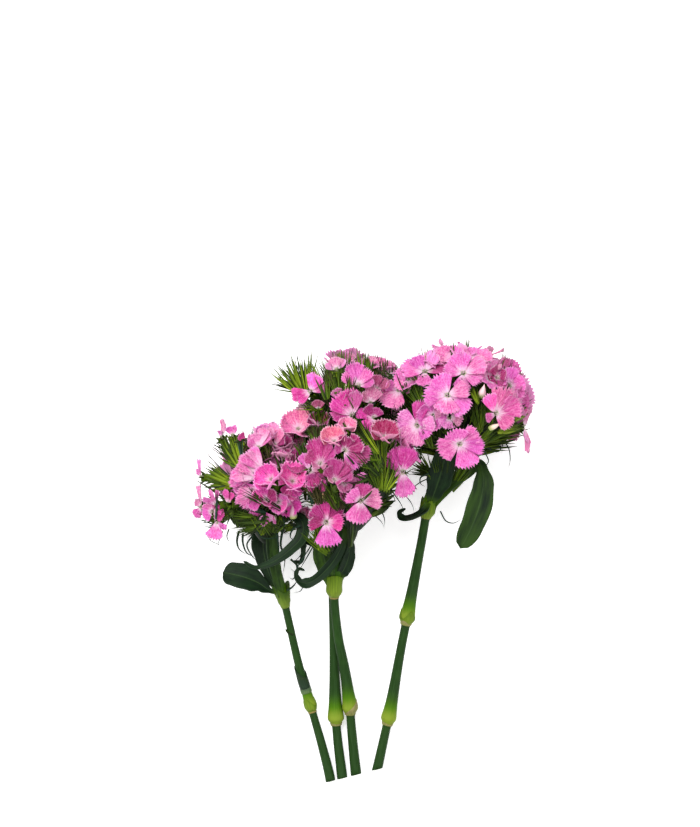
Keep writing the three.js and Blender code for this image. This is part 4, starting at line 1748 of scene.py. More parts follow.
    def add_scales(self) -> None:
        """Lays broad bracts over the heart's sides and underside, from the stalk towards the crown."""
        centre, dice = Vector(self.head.core[0]), self.dice
        for i in range(self.scales):
            height, angle = 0.85 - 2.0 * ((i + 0.5) / self.scales), i * GOLDEN_ANGLE
            root, ahead = self.skin(height, angle), self.skin(height + 0.12, angle)
            out = (root - centre).normalized()
            if out.z > 0.2:
                continue
            way = ((ahead - root).normalized() + out * dice.uniform(0.25, 0.7)).normalized()
            length = dice.uniform(*self.scale_lengths)
            if (root + way * length).z > 0.8:
                curl, half = out * dice.uniform(-0.8, 1.6), dice.uniform(*self.scale_halves)
                self.blade(root - out * 0.8, way, length, half, curl, Shade.ANY, self.thin)

    def build(self, green: Material) -> None:
        """Makes all the green of the head.

        Args:
            green: Its material.
        """
        self.add_heart()
        for bloom in self.head.standing:
            self.add_calyx(bloom)
        self.add_bracts()
        self.add_rosette()
        for row in self.head.sheaves:
            self.add_sheaf(row)
        for row in self.head.threads:
            self.add_thread(row)
        for bloom in self.head.under:
            self.add_calyx(bloom)
        self.add_scales()
        self.mould.finish([green], "bract", [f"calyces_{self.head.name}"])


# --- the plant's layout

STALKS = (
    Stalk(
        "left", 1.85, (-73, -19),
        ((-14.8, -122, 2), (-16.4, -110, 2), (-20.6, -93, 2.2), (-26, -74, 4), (-31.5, -55, 8),
         (-36.5, -33, 14), (-40, -17, 19), (-45, 4, 24), (-51, 26, 28)), 0.75,
    ),
    Stalk(
        "rear", 2.1, (-79.5, 2),
        ((-8.6, -122, 2.3), (-10.4, -108, 2.3), (-12.8, -88, 2.6), (-13.6, -76, 4), (-14, -60, 6.5),
         (-14.4, -40, 9.5), (-15, -10, 13.5), (-14.5, 20, 18), (-12.5, 48, 23), (-10.5, 72, 26)),
    ),
    Stalk(
        "middle", 2.1, (-74, -14),
        ((-1.4, -122, 2), (-3.4, -106, 2), (-5.4, -86, 3.2), (-6.6, -71, 6.5), (-9.4, -52, 13),
         (-12, -39, 18), (-14.2, -16, 26.5), (-13.2, 0, 32), (-10, 20, 40), (-6, 38, 46)), 1.35,
    ),
    Stalk(
        "right", 2.1, (-79.5, -28, 26),
        ((3.6, -122, 2.2), (7.2, -107, 2.2), (11.4, -88, 2.6), (14, -76, 4.2), (19, -47, 10),
         (23.2, -25, 15), (29.5, 9, 22), (33, 28, 26), (40, 50, 30), (46, 68, 32)), 1.35,
    ),
)

PALE_SHEATH = ((0.165, 0.235, 0.020), (0.100, 0.175, 0.006))
FRESH_SHEATH = ((0.150, 0.220, 0.022), (0.028, 0.070, 0.004))
DARK_SHEATH = ((0.018, 0.036, 0.020), (0.012, 0.030, 0.010))
GREY_SHEATH = ((0.110, 0.170, 0.060), (0.060, 0.095, 0.050))
DRY_SCALE = ((0.190, 0.200, 0.050), (0.260, 0.220, 0.090))
COLLAR_FACES = (24, 8)  # round it and along it
COLLAR_THICKNESS = 0.3
COLLARS = (
    Collar(STALKS[0], -22.6, 12, FRESH_SHEATH, 4.6, 1.5, 2, 0.4, 0.35),
    Collar(STALKS[0], -64.5, 12, DARK_SHEATH, lobes=1, turn=2.4, notch=0.5, gap=0.4),
    Collar(STALKS[0], -66.5, 2.6, GREY_SHEATH, notch=0.1, gap=0.3),
    Collar(STALKS[0], -75.5, 7, PALE_SHEATH, lobes=2, turn=0.9, notch=0.7, gap=0.1),
    Collar(STALKS[1], -1, 7, PALE_SHEATH, 4.2, 2.0, 2, 1.2),
    Collar(STALKS[1], -83.2, 1.4, DRY_SCALE, turn=0.3, notch=0.5),
    Collar(STALKS[2], -16.6, 11.5, PALE_SHEATH, 4.1, 3.2, 2, 1.7, 0.2),
    Collar(STALKS[2], -77.5, 7.5, DRY_SCALE, lobes=1, turn=0.5, notch=0.85),
    Collar(STALKS[3], 22.6, 9.5, PALE_SHEATH, 4.3, 2.2, 3, 0.7, 0.55),
    Collar(STALKS[3], -31.5, 7.5, PALE_SHEATH, lobes=3, turn=1.0, notch=0.6),
    Collar(STALKS[3], -31.7, 2.6, DRY_SCALE, lobes=3, turn=2.2, notch=0.7, gap=0.2),
    Collar(STALKS[3], -83, 1.4, DRY_SCALE, turn=0.5, notch=0.5),
)

LEAVES = (
    Leaf("left", "broad", (0.1, 0.3, 1), 12.5, 0.7,
         ((-42, -15.5, 21), (-47, -14, 23), (-52, -10.5, 25), (-59, -7.5, 26.5), (-65, -6, 26),
          (-70, -5, 25)),
         profile=(2, 2.5, 7, 12, 13, 12, 0)),
    Leaf("left", "upright", (-0.5, 0, 1), 11, 0.55,
         ((-42, -15, 20), (-46.5, -7, 20.5), (-49, 2, 20), (-50, 9, 19), (-49, 19, 14)),
         profile=(2, 6, 10, 12, 9)),
    Leaf("left", "folded", (0.25, 0, 1), 8, 0.55,
         ((-41, -17, 22), (-43.2, -6, 26.5), (-45, 5, 29), (-45.5, 18, 30)), 0.35,
         profile=(3.5, 5, 6, 6.5, 5)),
    Leaf("left", "arching", (-0.3, 0.4, 1), 6, 0.55,
         ((-43.5, 26, 30), (-36.5, 25, 36), (-30, 20.5, 39.5), (-30.5, 13, 41), (-36, 7, 40.8),
          (-42.5, 2, 40), (-48.5, -1, 39), (-54, -2, 38), (-59.5, 1, 36.5)),
         profile=(2.5, 4.5, 6.5, 7, 6, 4.6, 3.2, 2, 0)),
    Leaf("rear", "upright", (0.3, 0, 1), 9, 0.55, ((-13, 4, 15), (-8, 12, 17), (-6, 22, 18), (-5, 34, 18))),
    Leaf("rear", "drooping", (-0.3, 0.4, 1), 4, 0.55,
         ((-18, 3, 14), (-24, 9, 15), (-29, 10, 14), (-30, 4, 12), (-31.5, 0, 11), (-35, 0, 10)),
         profile=(4, 4, 3.2, 2.4, 1.8, 0)),
    Leaf("middle", "front", (-0.2, -0.2, 1), 10, 0.55,
         ((-16.5, -11, 29), (-18.5, -1, 35), (-20, 8, 39), (-19.5, 20, 42)), 0.5,
         profile=(3.5, 8.5, 10.5, 9, 5)),
    Leaf("middle", "side", (0.5, 0, 1), 9, 0.55, ((-12, -9, 28), (-10, 0, 30), (-9, 8, 31), (-8, 15, 30))),
    Leaf("middle", "hooked", (0.4, 0.3, 0.9), 5.5, 0.5,
         ((-8.5, 24, 41), (-9, 13, 43.5), (-12.5, 4.5, 43), (-18, -3, 41.5), (-24, -8.3, 39.5),
          (-28.5, -10, 38.5), (-32, -8.7, 37.8), (-33.2, -5, 37), (-32, -2.8, 36.5), (-29, -3.6, 36)),
         profile=(3, 3.8, 5, 5.2, 4.6, 5.6, 3.2, 2.2, 1.5, 0)),
    Leaf("middle", "outer", (0.6, 0, 1), 7.5, 0.55,
         ((-12, -7, 30), (-9, -2.5, 32), (-6.8, 4, 34), (-5.8, 11.5, 35)), profile=(3.5, 7, 8, 7, 5, 0)),
    Leaf("right", "upright", (0, -0.1, 1), 12.5, 0.55,
         ((34, 29.5, 29), (37, 38, 33.5), (39.5, 46, 37), (42, 56, 39)), profile=(3, 8.5, 12.5, 12, 8)),
    Leaf("right", "hanging", (0.2, 0.3, 1), 12.5, 0.8,
         ((36, 29, 27), (44, 39, 32), (52, 45, 36), (58, 49.5, 39.5), (60.3, 43, 42.5), (59, 32, 42.5),
          (55, 19.5, 41), (49, 7.5, 38)), 0.3, profile=(3, 5, 5.5, 5.5, 6, 10.5, 13, 11.5, 0)),
    Leaf("right", "curled", (0.1, 0.9, 0.6), 5.5, 0.55,
         ((33, 30, 31), (30.5, 26, 33), (25, 22.8, 33), (20, 22.5, 32), (18.5, 25, 31), (21.5, 27.2, 30)),
         profile=(3, 4.5, 5.5, 4.5, 2.5, 0)),
)

PALE, LIGHT, ORCHID, ROSE, BRIGHT, HOT, MAUVE, PLUM = list(Tint)[:8]
MAGENTA, CRIMSON, CORAL, BLUSH, DUSTY, DUSK, STREAK = list(Tint)[8:]
DARK, MID, FRESH, BROWN, BLUE = list(Shade)[:5]

# Rows of a head. Blooms: x, y, z of the middle, turned right, tilted up, tint, then radius and cup,
# or its petals (tip from the middle, half width, own tint). Buds: foot, way to the tip, radius,
# colour. Pressed: x, y. Sheaves: root, tip, how many bracts, half the spread, greens, half a bract's
# width. Threads: half width, points.
LEFT_BLOOMS = (
    (-35, 41, 52, 6, 30, BRIGHT, (12, 50)), (-45, 42, 59, -30, 26, BRIGHT, (10.5, 48)),
    (-35, 40, 51, 4, -20, BRIGHT, ((-2, -8.5, 3, 3.5), (4, -6, 3, 3.5), (-5, -5, 3, 2.5, HOT))),
    (-50, 37, 56, -35, -12, STREAK, ((-13, -2.5, 0, 3.5), (-15, 1, 1, 3.5, LIGHT),
     (-11.5, -7, 1, 3.5, ORCHID), (-7, -9.5, 2, 3.5, ROSE), (-13.5, -5.5, 3, 2, STREAK))),
    (-53, 43, 57, -45, 5, STREAK, ((-13, 2, 0, 3.5), (-14, -2, 1, 3, ORCHID), (-10.5, 5.5, 1, 3.5, LIGHT),
     (-12, 0, 3, 2, STREAK))),
    (-50, 47, 57.5, -35, 25, STREAK, ((-12, 4, 0, 4), (-9, 8.5, 1, 3.5, PALE), (-5, 11.5, 1, 3),
     (-11, 6.5, 3, 2, LIGHT))),
    (-52, 58, 53, -15, 40, STREAK, ((-2, 7.5, 0, 4, PALE), (3, 10.5, 1, 3.5), (6, 7, 1, 2.5, LIGHT),
     (-5, 3.5, 1, 2.5, ORCHID))),
    (-42, 48, 50.5, -5, 40, STREAK, ((-3.5, 6.5, 1, 3.5, DUSTY), (1, 9.5, 1, 3.5), (5, 7.5, 1, 3, DUSTY),
     (-6.5, 3, 1, 2.5, LIGHT))),
    (-48, 32, 56.5, -8, -10, HOT, ((-6.5, 4.5, 4, 3.5, BRIGHT), (-2, 6.5, 6, 3, HOT),
     (3, 6, 6, 3, MAGENTA), (5.5, 2.5, 5, 3, MAGENTA), (-1, -2, 5, 3.5, MAGENTA),
     (-4, -0.5, 3, 2.5, HOT))),
    (-42, 31, 53, 10, -25, BRIGHT, ((4.5, 2.5, 4, 3.5, LIGHT), (4, -3, 3, 3.5, BRIGHT),
     (0, -6, 3, 3.5, ORCHID), (-4.5, -1.5, 5, 2.5, HOT))),
    (-43, 23, 49.5, -10, -35, LIGHT, ((-14, 3, 1, 2.5, BRIGHT), (-8.5, -2, 1, 3.5, LIGHT),
     (-1.5, -2, 2, 2.5, ORCHID))),
    (-30, 25, 33, 10, -10, BLUSH, (5.5, 50)),
    (-38, 51, 48.5, 5, 30, ROSE, ((-6, 2.5, 2, 3.5), (-0.5, 7, 2, 3.5), (4.5, 4.5, 3, 3))),
    (-48, 60, 48, -8, 45, PALE, ((-6, 5.5, 1, 3.5), (-2.5, 10, 1, 3.5), (2.5, 8, 2, 3), (-6, 1, 2, 2.5))),
    (-44, 59, 47.5, -5, 40, BLUSH, ((3.5, 8.5, 2, 3), (5.5, 4, 4, 2.5, MAGENTA), (-2.5, 4, 4, 2, BLUSH))),
    (-71, 63, 38, -40, 40, PALE, ((1, 9.5, 1, 2.5), (-1, 3.5, 1, 1.5))),
    (-65, 64, 44, -30, 55, LIGHT, ((-2, 4.5, 1, 2), (1.5, 5.5, 1, 2))),
    (-58, 61, 48.5, -20, 55, MAUVE, ((-3, 4, 1, 2.5), (2, 3.5, 1, 2.5, ROSE))),
    (-73, 21, 42, -45, -30, ORCHID, ((-2, -9.5, 0, 5), (-4.5, 10, 1, 2.5), (1.5, 10, 1, 3, HOT),
     (5, -4, 1, 2))),
    (-73, 29, 47.5, -60, -10, LIGHT, ((-4, 8, 1, 3), (-7, 3.5, 1, 2.5), (-0.5, 8, 2, 2, ROSE))),
    (-75, 26, 44.5, -42, -5, HOT, ((-4.5, 3.5, 0, 4, LIGHT), (-1.5, 7, 1, 3.5, ROSE), (4.5, 3, 2, 4),
     (6, -2.5, 1, 3.5), (-5, -2, 0, 3.5, ORCHID))),
    (-81, 28, 29, -62, 0, PALE, ((-2, 11.5, -1, 3), (-4, -4.5, -1, 3.5, ROSE), (-3.5, 3.5, -1, 3))),
    (-81, 43, 36, -66, 0, PALE, ((-1.5, 9.5, -1, 2.5), (-2.5, 4, -1, 2.5, LIGHT))),
    (-67, 30, 53.5, -45, -10, HOT, ((-1.5, 7.5, 1, 2.5), (2, 6, 1, 2))),
    (-48, 53, 47, -20, 40, PLUM, (9, 40)), (-40, 52, 46.5, 0, 60, DUSTY, (9.5, 52)),
    (-55, 51, 48, -50, 25, MAUVE, (9, 40)), (-41, 57, 44.5, 5, 58, MAGENTA, (9, 45)),
    (-35, 59, 34.5, 8, 55, PLUM, (8, 40)), (-56, 35, 49.5, -50, -14, PLUM, (9, 40)),
    (-47, 63, 42, -12, 62, PALE, (8.5, 42)), (-38, 32, 47.5, 0, -35, HOT, (9, 35)),
    (-59, 42, 49.5, -60, 8, MAUVE, (9, 40)),
)
LEFT_SHEAVES = (
    (-47, 51, 54, -50, 60, 51.5, 8, 4, BROWN, 0.49), (-40, 51, 50.5, -39, 61, 43.5, 8, 4, BROWN, 0.49),
    (-28, 32, 35.5, -28, 47, 38, 5, 4, DARK, 0.5), (-29, 47, 37, -28, 60, 36, 5, 4, DARK, 0.5),
    (-38, 26, 51.5, -53, 33, 63, 3, 2.5, DARK, 0.4), (-50, 32, 58.5, -61, 39, 61.5, 3, 2.5, DARK, 0.4),
    (-44, 54, 52, -49, 62, 50.5, 3, 2, DARK, 0.4), (-40, 47, 52, -42, 57, 52, 6, 3, DARK, 0.6),
    (-47, 56, 51, -52, 62, 50, 6, 2.5, MID, 0.5), (-33, 60, 31, -31, 69, 35, 6, 2.5, DARK, 0.6),
    (-31, 49, 40.5, -29, 58, 35, 8, 2.5, DARK, 0.49), (-61, 49, 53, -69, 63, 40.5, 9, 6.5, FRESH, 1.1),
    (-60, 49, 53, -63, 64, 43.5, 9, 4, FRESH, 1.1), (-59, 50, 52, -58, 61, 46.5, 7, 2.5, MID, 1.05),
    (-62, 49, 53, -73, 58, 41.5, 8, 3.5, MID, 1.05), (-61, 49, 48.5, -67, 61, 38.5, 2, 5.5, DARK, 0.8),
    (-60, 54, 55, -62, 65, 44, 4, 2, BLUE, 0.5), (-65, 56, 50, -70, 68, 34, 3, 2.5, DARK, 0.35),
    (-67, 53, 51, -80, 62, 33, 3, 2.5, DARK, 0.35), (-63, 61, 50.5, -53, 63, 50, 2, 1, DARK, 0.45),
    (-59, 56, 50, -55, 63, 46.5, 5, 2, BROWN, 0.6), (-64, 40, 53.5, -78, 47, 45, 8, 4, FRESH, 1.1),
    (-63, 40, 54, -81, 42, 41.5, 8, 4, FRESH, 1.1), (-63, 39, 52.5, -78, 39, 44.5, 5, 2, MID, 1.05),
    (-64, 40, 50.5, -78, 44, 42, 3, 4, DARK, 0.9), (-68, 45, 53, -81, 55, 33, 3, 2.5, DARK, 0.35),
    (-69, 39, 54, -82, 37, 38.5, 2, 0.5, DARK, 0.45), (-73, 21, 38, -80, 28, 37.5, 9, 4.5, MID, 0.6),
    (-73, 20, 36, -81, 25, 33, 6, 3.5, DARK, 0.5), (-75, 22, 37, -86, 22, 33, 4, 2.5, DARK, 0.35),
    (-74, 19, 33, -82, 16, 33, 2, 1, BLUE, 0.4), (-73, 23, 46, -72, 38, 56, 2, 0.5, BLUE, 0.8),
    (-66, 28, 48.5, -70, 37, 52.5, 8, 2.5, DARK, 0.56), (-63, 21, 44, -67, 32, 52, 11, 3, DARK, 0.56),
    (-61, 19, 42.5, -61, 30, 52.5, 14, 5, DARK, 0.56), (-49, 26, 50.5, -58, 29, 53.5, 10, 2, BLUE, 0.49),
    (-50, 22, 49, -67, 22, 47, 13, 3, DARK, 0.7), (-50, 20, 47, -66, 16, 38, 13, 3.5, MID, 0.63),
    (-52, 18, 44.5, -61, 13, 35, 10, 2.5, DARK, 0.63), (-56, 24, 50, -68, 25, 47.5, 11, 2.5, MID, 0.56),
    (-65, 26, 49, -75, 20, 33, 11, 3, MID, 0.56), (-49, 24, 51.5, -56, 14, 41.5, 11, 4, DARK, 0.56),
    (-50, 15, 39.5, -54, 25, 55, 8, 3.5, FRESH, 0.49), (-47, 22, 48, -35, 18, 30, 11, 4, MID, 0.63),
    (-46, 24, 48.5, -32, 22, 31, 11, 3, DARK, 0.63), (-45, 20, 45, -36, 14, 30, 10, 2.5, DARK, 0.56),
    (-44, 16, 36.5, -41, 25, 49.5, 8, 4, MID, 0.56), (-49, 20, 48, -43, 13, 31, 10, 3.5, MID, 0.49),
    (-38, 17, 30, -31, 21, 31, 8, 2.5, FRESH, 0.63), (-36, 20, 35, -28, 15, 31, 4, 1.5, DARK, 0.5),
    (-36, -36, 14, -39, -34, 15, 2, 0.25, DARK, 1.3), (-39, 26, 43.5, -36, 33, 47.5, 7, 2, DARK, 0.63),
    (-52, 31, 59.5, -61, 35, 62, 3, 0.5, DARK, 0.45), (-50, 30, 58.5, -55, 37, 62, 2, 0.5, DARK, 0.5),
    (-50, 62, 48.5, -48, 71, 36, 2, 0.5, MID, 0.35), (-56, 62, 48, -54, 70, 35, 2, 0.5, BLUE, 0.3),
    (-38, 57, 42.5, -43, 64, 43, 5, 1.5, MID, 0.5), (-34, 66, 35, -40, 70, 37, 3, 1, BLUE, 0.4),
    (-51, 52, 50, -50, 58, 49, 13, 5, DARK, 0.49), (-47, 51, 51, -47, 57, 50, 6, 2.5, MID, 0.45),
    (-36, 56, 38, -35, 63, 30, 13, 4, DARK, 0.63), (-40, 44, 56, -41, 51, 56.5, 3, 0.75, DARK, 0.4),
)
LEFT_THREADS = (
    (0.75, (-30, 13, 38), (-29, 7, 37.5), (-30, 1, 37), (-33, -1, 36.5), (-35, 1, 36)),
    (0.8, (-36, 2, 36), (-33, -1, 35.5), (-33, -5, 35), (-35, -8, 34.5), (-37, -7, 34)),
    (0.5, (-33, -5, 34), (-30, -10, 32.5), (-31, -14, 31.5), (-35, -15, 30)),
    (0.7, (-38, -14, 26), (-35, -12, 26), (-32, -8, 26)),
    (0.45, (-25, 8, 40), (-29, 1, 38), (-32, -4, 36)),
    (0.8, (-62, 16, 32), (-63, 11, 30.5), (-62, 7, 29.5), (-58, 4, 28)),
    (0.75, (-60, 15, 33), (-60, 10, 32), (-58, 5, 31), (-54, 3, 30)),
    (0.6, (-55, 14, 33), (-58, 9, 32), (-55, 3, 31), (-53, 1, 30)),
    (0.45, (-67, 17, 34), (-68, 13, 31), (-66, 9, 28)),
    (0.35, (-70, 16, 34), (-72, 11, 31), (-73, 7, 28)),
    (0.3, (-78, 14, 30), (-76, 11, 28.5), (-72, 9, 27.5), (-68, 6, 26)),
    (0.5, (-53, 17, 44), (-50, 13, 42.5), (-43, 13, 41.5), (-39, 15, 40)),
    (0.85, (-40, 17, 36), (-41, 9, 33.5), (-39, 2, 30.5), (-40, -6, 28)),
    (0.7, (-43, 15, 38), (-42, 8, 35), (-42, 1, 32)),
    (0.7, (-31, 19, 42), (-35, 17, 41.5), (-36, 13, 40.5), (-33, 11, 40)),
    (0.5, (-40, 24, 46), (-39, 20, 44), (-40, 16, 42)),
)
REAR_BLOOMS = (
    (-32, 67, 35.5, -6, 42, BLUSH, (11.5, 44)), (-22, 69, 48.5, 2, 50, MAGENTA, (8, 50)),
    (-5, 74, 55, -3, 40, HOT, ((2, 12.5, 2, 3.5, ROSE), (-3, 13.5, 1, 5.5), (-9.5, 9.5, 1, 6),
     (-11, 2, 2, 5, MAUVE))),
    (-26, 86, 48.5, -22, 15, BRIGHT, ((2.5, 9.5, 1, 5), (7.5, 4, 1, 4, ORCHID), (-10, -2, -1, 3.5, HOT),
     (-6, -5.5, 2, 2.5, HOT))),
    (-2, 89, 51, 0, 45, ORCHID, ((-7, 7.5, 0, 4.5), (-2.5, 12, 0, 4.5), (4.5, 9, 0, 4.5),
     (8, 2, 2, 4, ROSE))),
    (-13, 97, 45, -5, 60, PALE, ((-5.5, 3, 0, 3), (-0.5, 6.5, 0, 3.5), (4, 5.5, 0, 3))),
    (3, 98, 36, 8, 68, PALE, ((-3.5, 5, 0, 3), (2, 6, 0, 3), (5.5, 1.5, 0, 3))),
    (13, 95, 31, 20, 60, PALE, ((-4.5, 4.5, 0, 3.5), (0.5, 6.5, 0, 3.5), (4.5, 3, 0, 2.5),
     (-3.5, -2, 1, 3))),
    (7, 87, 46, 15, 50, DUSK, ((-6.5, 4, 1, 3.5), (-0.5, 7.5, 1, 4), (6, 5, 1, 3.5))),
    (4, 80, 51, 12, 20, DUSTY, ((-4, 6, 1, 3.5), (2.5, 8.5, 1, 4.5))),
    (-11, 81, 54, -8, 40, DUSTY, ((-2.5, 6.5, 1, 3), (1.5, 5, 1, 2))),
    (-22, 77, 50, -20, 20, DUSK, ((-2, 4.5, 1, 2.5), (1.5, 4.5, 1, 2))),
    (-9, 100, 35.5, -3, 60, DUSTY, (7, 35)), (9, 97, 27, 15, 60, LIGHT, (8, 32)),
)
REAR_SHEAVES = (
    (-30, 87, 41, -36, 103, 31, 26, 12, FRESH, 0.62), (-29, 88, 40, -30, 100, 30, 19, 5, MID, 0.56),
    (-31, 88, 37.5, -42, 98, 29, 22, 9, MID, 0.59), (-31, 89, 35, -39, 102, 27, 13, 6, DARK, 0.42),
    (-31, 87, 39, -47, 89, 31, 3, 1.5, DARK, 0.4), (-32, 95, 30, -34, 108, 31, 4, 3.5, DARK, 0.35),
    (-10, 83, 45.5, -16, 98, 41, 22, 6.5, DARK, 0.42), (-12, 84, 47.5, -20, 99, 38.5, 7, 4, MID, 0.5),
    (-9, 85, 49, -7, 106, 34, 6, 2.5, FRESH, 0.45), (-10, 85, 48, -12, 94, 49, 8, 4.5, FRESH, 0.45),
    (-5, 82, 47.5, -4, 95, 46, 8, 3, BROWN, 0.5), (-1, 75, 47, -1, 89, 50, 10, 1.5, MID, 0.42),
    (7, 89, 40, 6, 101, 32, 10, 4, DARK, 0.5), (13, 85, 35, 13, 93, 31, 8, 2, MID, 0.42),
    (-21, 78, 48.5, -36, 79, 33, 9, 3.5, FRESH, 0.5), (-22, 77, 46, -31, 83, 39, 11, 3, DARK, 0.42),
    (-15, 79, 47.5, -18, 86, 51.5, 13, 4, BROWN, 0.42), (-16, 65, 43, -17, 76, 54, 13, 2.5, BROWN, 0.42),
    (-16, 66, 44.5, -16, 76, 54, 4, 1.5, MID, 0.5), (-2, 61, 38.5, -5, 75, 54, 7, 2, FRESH, 0.5),
    (6, 49, 28, 0, 72, 51, 13, 2.5, MID, 0.5), (8, 47, 25, 4, 67, 41.5, 13, 3, DARK, 0.56),
    (0, 74, 52.5, 8, 82, 49.5, 2, 0.5, BLUE, 0.8), (13, 68, 28, 12, 78, 42, 13, 4, DARK, 0.5),
    (2, 99, 35, 2, 107, 33, 4, 2, MID, 0.4), (-18, 96, 41.5, -23, 103, 31, 5, 2.5, MID, 0.35),
    (-23, 94, 39.5, -28, 101, 31, 5, 2, MID, 0.4), (-16, 86, 48, -18, 99, 40, 19, 6, MID, 0.43),
    (-9, 77, 50, -11, 86, 52, 13, 4, BROWN, 0.43), (-9, 95, 45.5, -10, 107, 33, 16, 5.5, MID, 0.43),
    (-13, 94, 46, -14, 105, 32, 13, 4, FRESH, 0.43), (3, 97, 38, 4, 106, 33, 13, 4.5, MID, 0.43),
    (-16, 89, 50, -18, 101, 37, 16, 5, BROWN, 0.43), (-12, 86, 53, -14, 98, 45.5, 16, 6, MID, 0.43),
    (-6, 86, 53.5, -7, 95, 50, 10, 4, BROWN, 0.42), (8, 92, 39.5, 9, 102, 32, 13, 4, BROWN, 0.43),
    (-22, 69, 46.5, -24, 80, 51, 14, 4.5, MID, 0.43), (-8, 65, 48.5, -7, 75, 55.5, 14, 5, BROWN, 0.42),
    (-19, 67, 47.5, -20, 77, 53, 10, 4, FRESH, 0.42), (12, 84, 40, 13, 94, 31, 13, 4, MID, 0.43),
    (15, 91, 29, 16, 100, 32, 10, 3, MID, 0.42), (-3, 76, 53, -7, 86, 56, 6, 2.5, MID, 0.45),
    (-18, 83, 53.5, -21, 96, 47, 9, 4, MID, 0.45), (-8, 87, 53.5, -9, 101, 42.5, 7, 3.5, MID, 0.4),
    (-22, 93, 46.5, -28, 102, 34, 6, 2.5, FRESH, 0.35), (-1, 97, 43, -3, 108, 33, 6, 3, FRESH, 0.35),
    (11, 96, 31, 10, 106, 33, 5, 3, MID, 0.35), (-11, 101, 38.5, -13, 107, 33, 5, 2.5, FRESH, 0.35),
)
MIDDLE_BLOOMS = (
    (20, 46, 63.5, 25, -12, MAUVE, ((-7, 7.5, 1, 4), (-3.5, 13, 1, 5.5), (4.5, 12.5, 0, 6),
     (2, -13, 0, 6, ORCHID), (-3.5, -3, 2, 2.5, PALE))),
    (11, 63, 66, 2, 48, CRIMSON, (10.5, 50)),
    (-21, 50, 71.5, -6, 30, MAUVE, ((-7, 5.5, 4, 3.5), (-3.5, 13, 3, 4.5), (3, 13, 3, 4.5),
     (7, 7.5, 4, 3.5), (-3, -1, 6, 2.5, DUSTY), (3.5, -0.5, 6, 2.5, DUSTY))),
    (-14, 61, 70.5, -6, 45, CORAL, (9, 48)), (-8, 67, 66.5, 6, 50, BLUSH, (7, 50)),
    (-9, 57, 74.5, 5, 15, MAGENTA, ((-4.5, 1.5, 3, 3, MAUVE), (1.5, 7, 3, 4), (9, 5, 2, 5.5),
     (13.5, -3.5, 2, 5, PLUM), (6.5, -10, 3, 4.5, ORCHID))),
    (-14, 42, 77, 4, 30, PLUM, ((-3.5, 6.5, 4, 3), (0.5, 11.5, 3, 4), (6.5, 10, 3, 4.5), (9.5, 4, 4, 3.5),
     (4.5, 0, 6, 3, MAUVE), (-2.5, 0.5, 6, 2, DUSTY))),
    (-23, 40, 66, -10, -10, PLUM, ((-4, 5, 1, 3), (4, 4, 2, 3, MAUVE), (-4.5, -2, 1, 3, MAUVE),
     (5, -2, 2, 2.5, MAGENTA))),
    (-9, 41, 73.5, 4, -30, LIGHT, ((-5.5, 0.5, 3, 2), (-1.5, -4.5, 3, 3), (5.5, 2, 3, 2), (11, 3.5, 3, 2),
     (3, -3.5, 2, 2))),
    (-26, 47, 66, -18, -5, MAGENTA, ((-4.5, 8, 2, 3, ORCHID), (3.5, -8.5, 2, 4), (9, -1.5, 3, 2.5),
     (8, -8, 2, 2.5, PLUM), (4.5, 1.5, 2, 2.5, PALE))),
    (-18, 21, 59.5, -4, -14, MAGENTA, ((-8.5, 6.5, 1, 4.5), (-9, -1, 2, 3.5), (-3, 11, 1, 4.5, HOT),
     (6.5, 9, 0, 5.5), (9, 0, 1, 4.5, HOT), (1.5, -13, 0, 6.5, ORCHID))),
    (-1, 32, 74.5, 15, -20, MAUVE, ((2, 9, 2, 4.5), (-6.5, 4, 3, 5, ORCHID), (11, 1, 0, 5.5, DUSTY),
     (-1, -12, 0, 7, ORCHID))),
    (6, 73, 53.5, 10, 25, MAGENTA, ((-9, 3.5, 1, 3, HOT), (-4.5, -6, 2, 4, HOT), (-3.5, 6.5, 2, 3),
     (2.5, 4.5, 2, 3, PLUM))),
    (-31, 51, 52, -22, 18, PLUM, (8, 30)), (-5, 37, 68.5, 8, -25, MAUVE, (8, 30)),
)
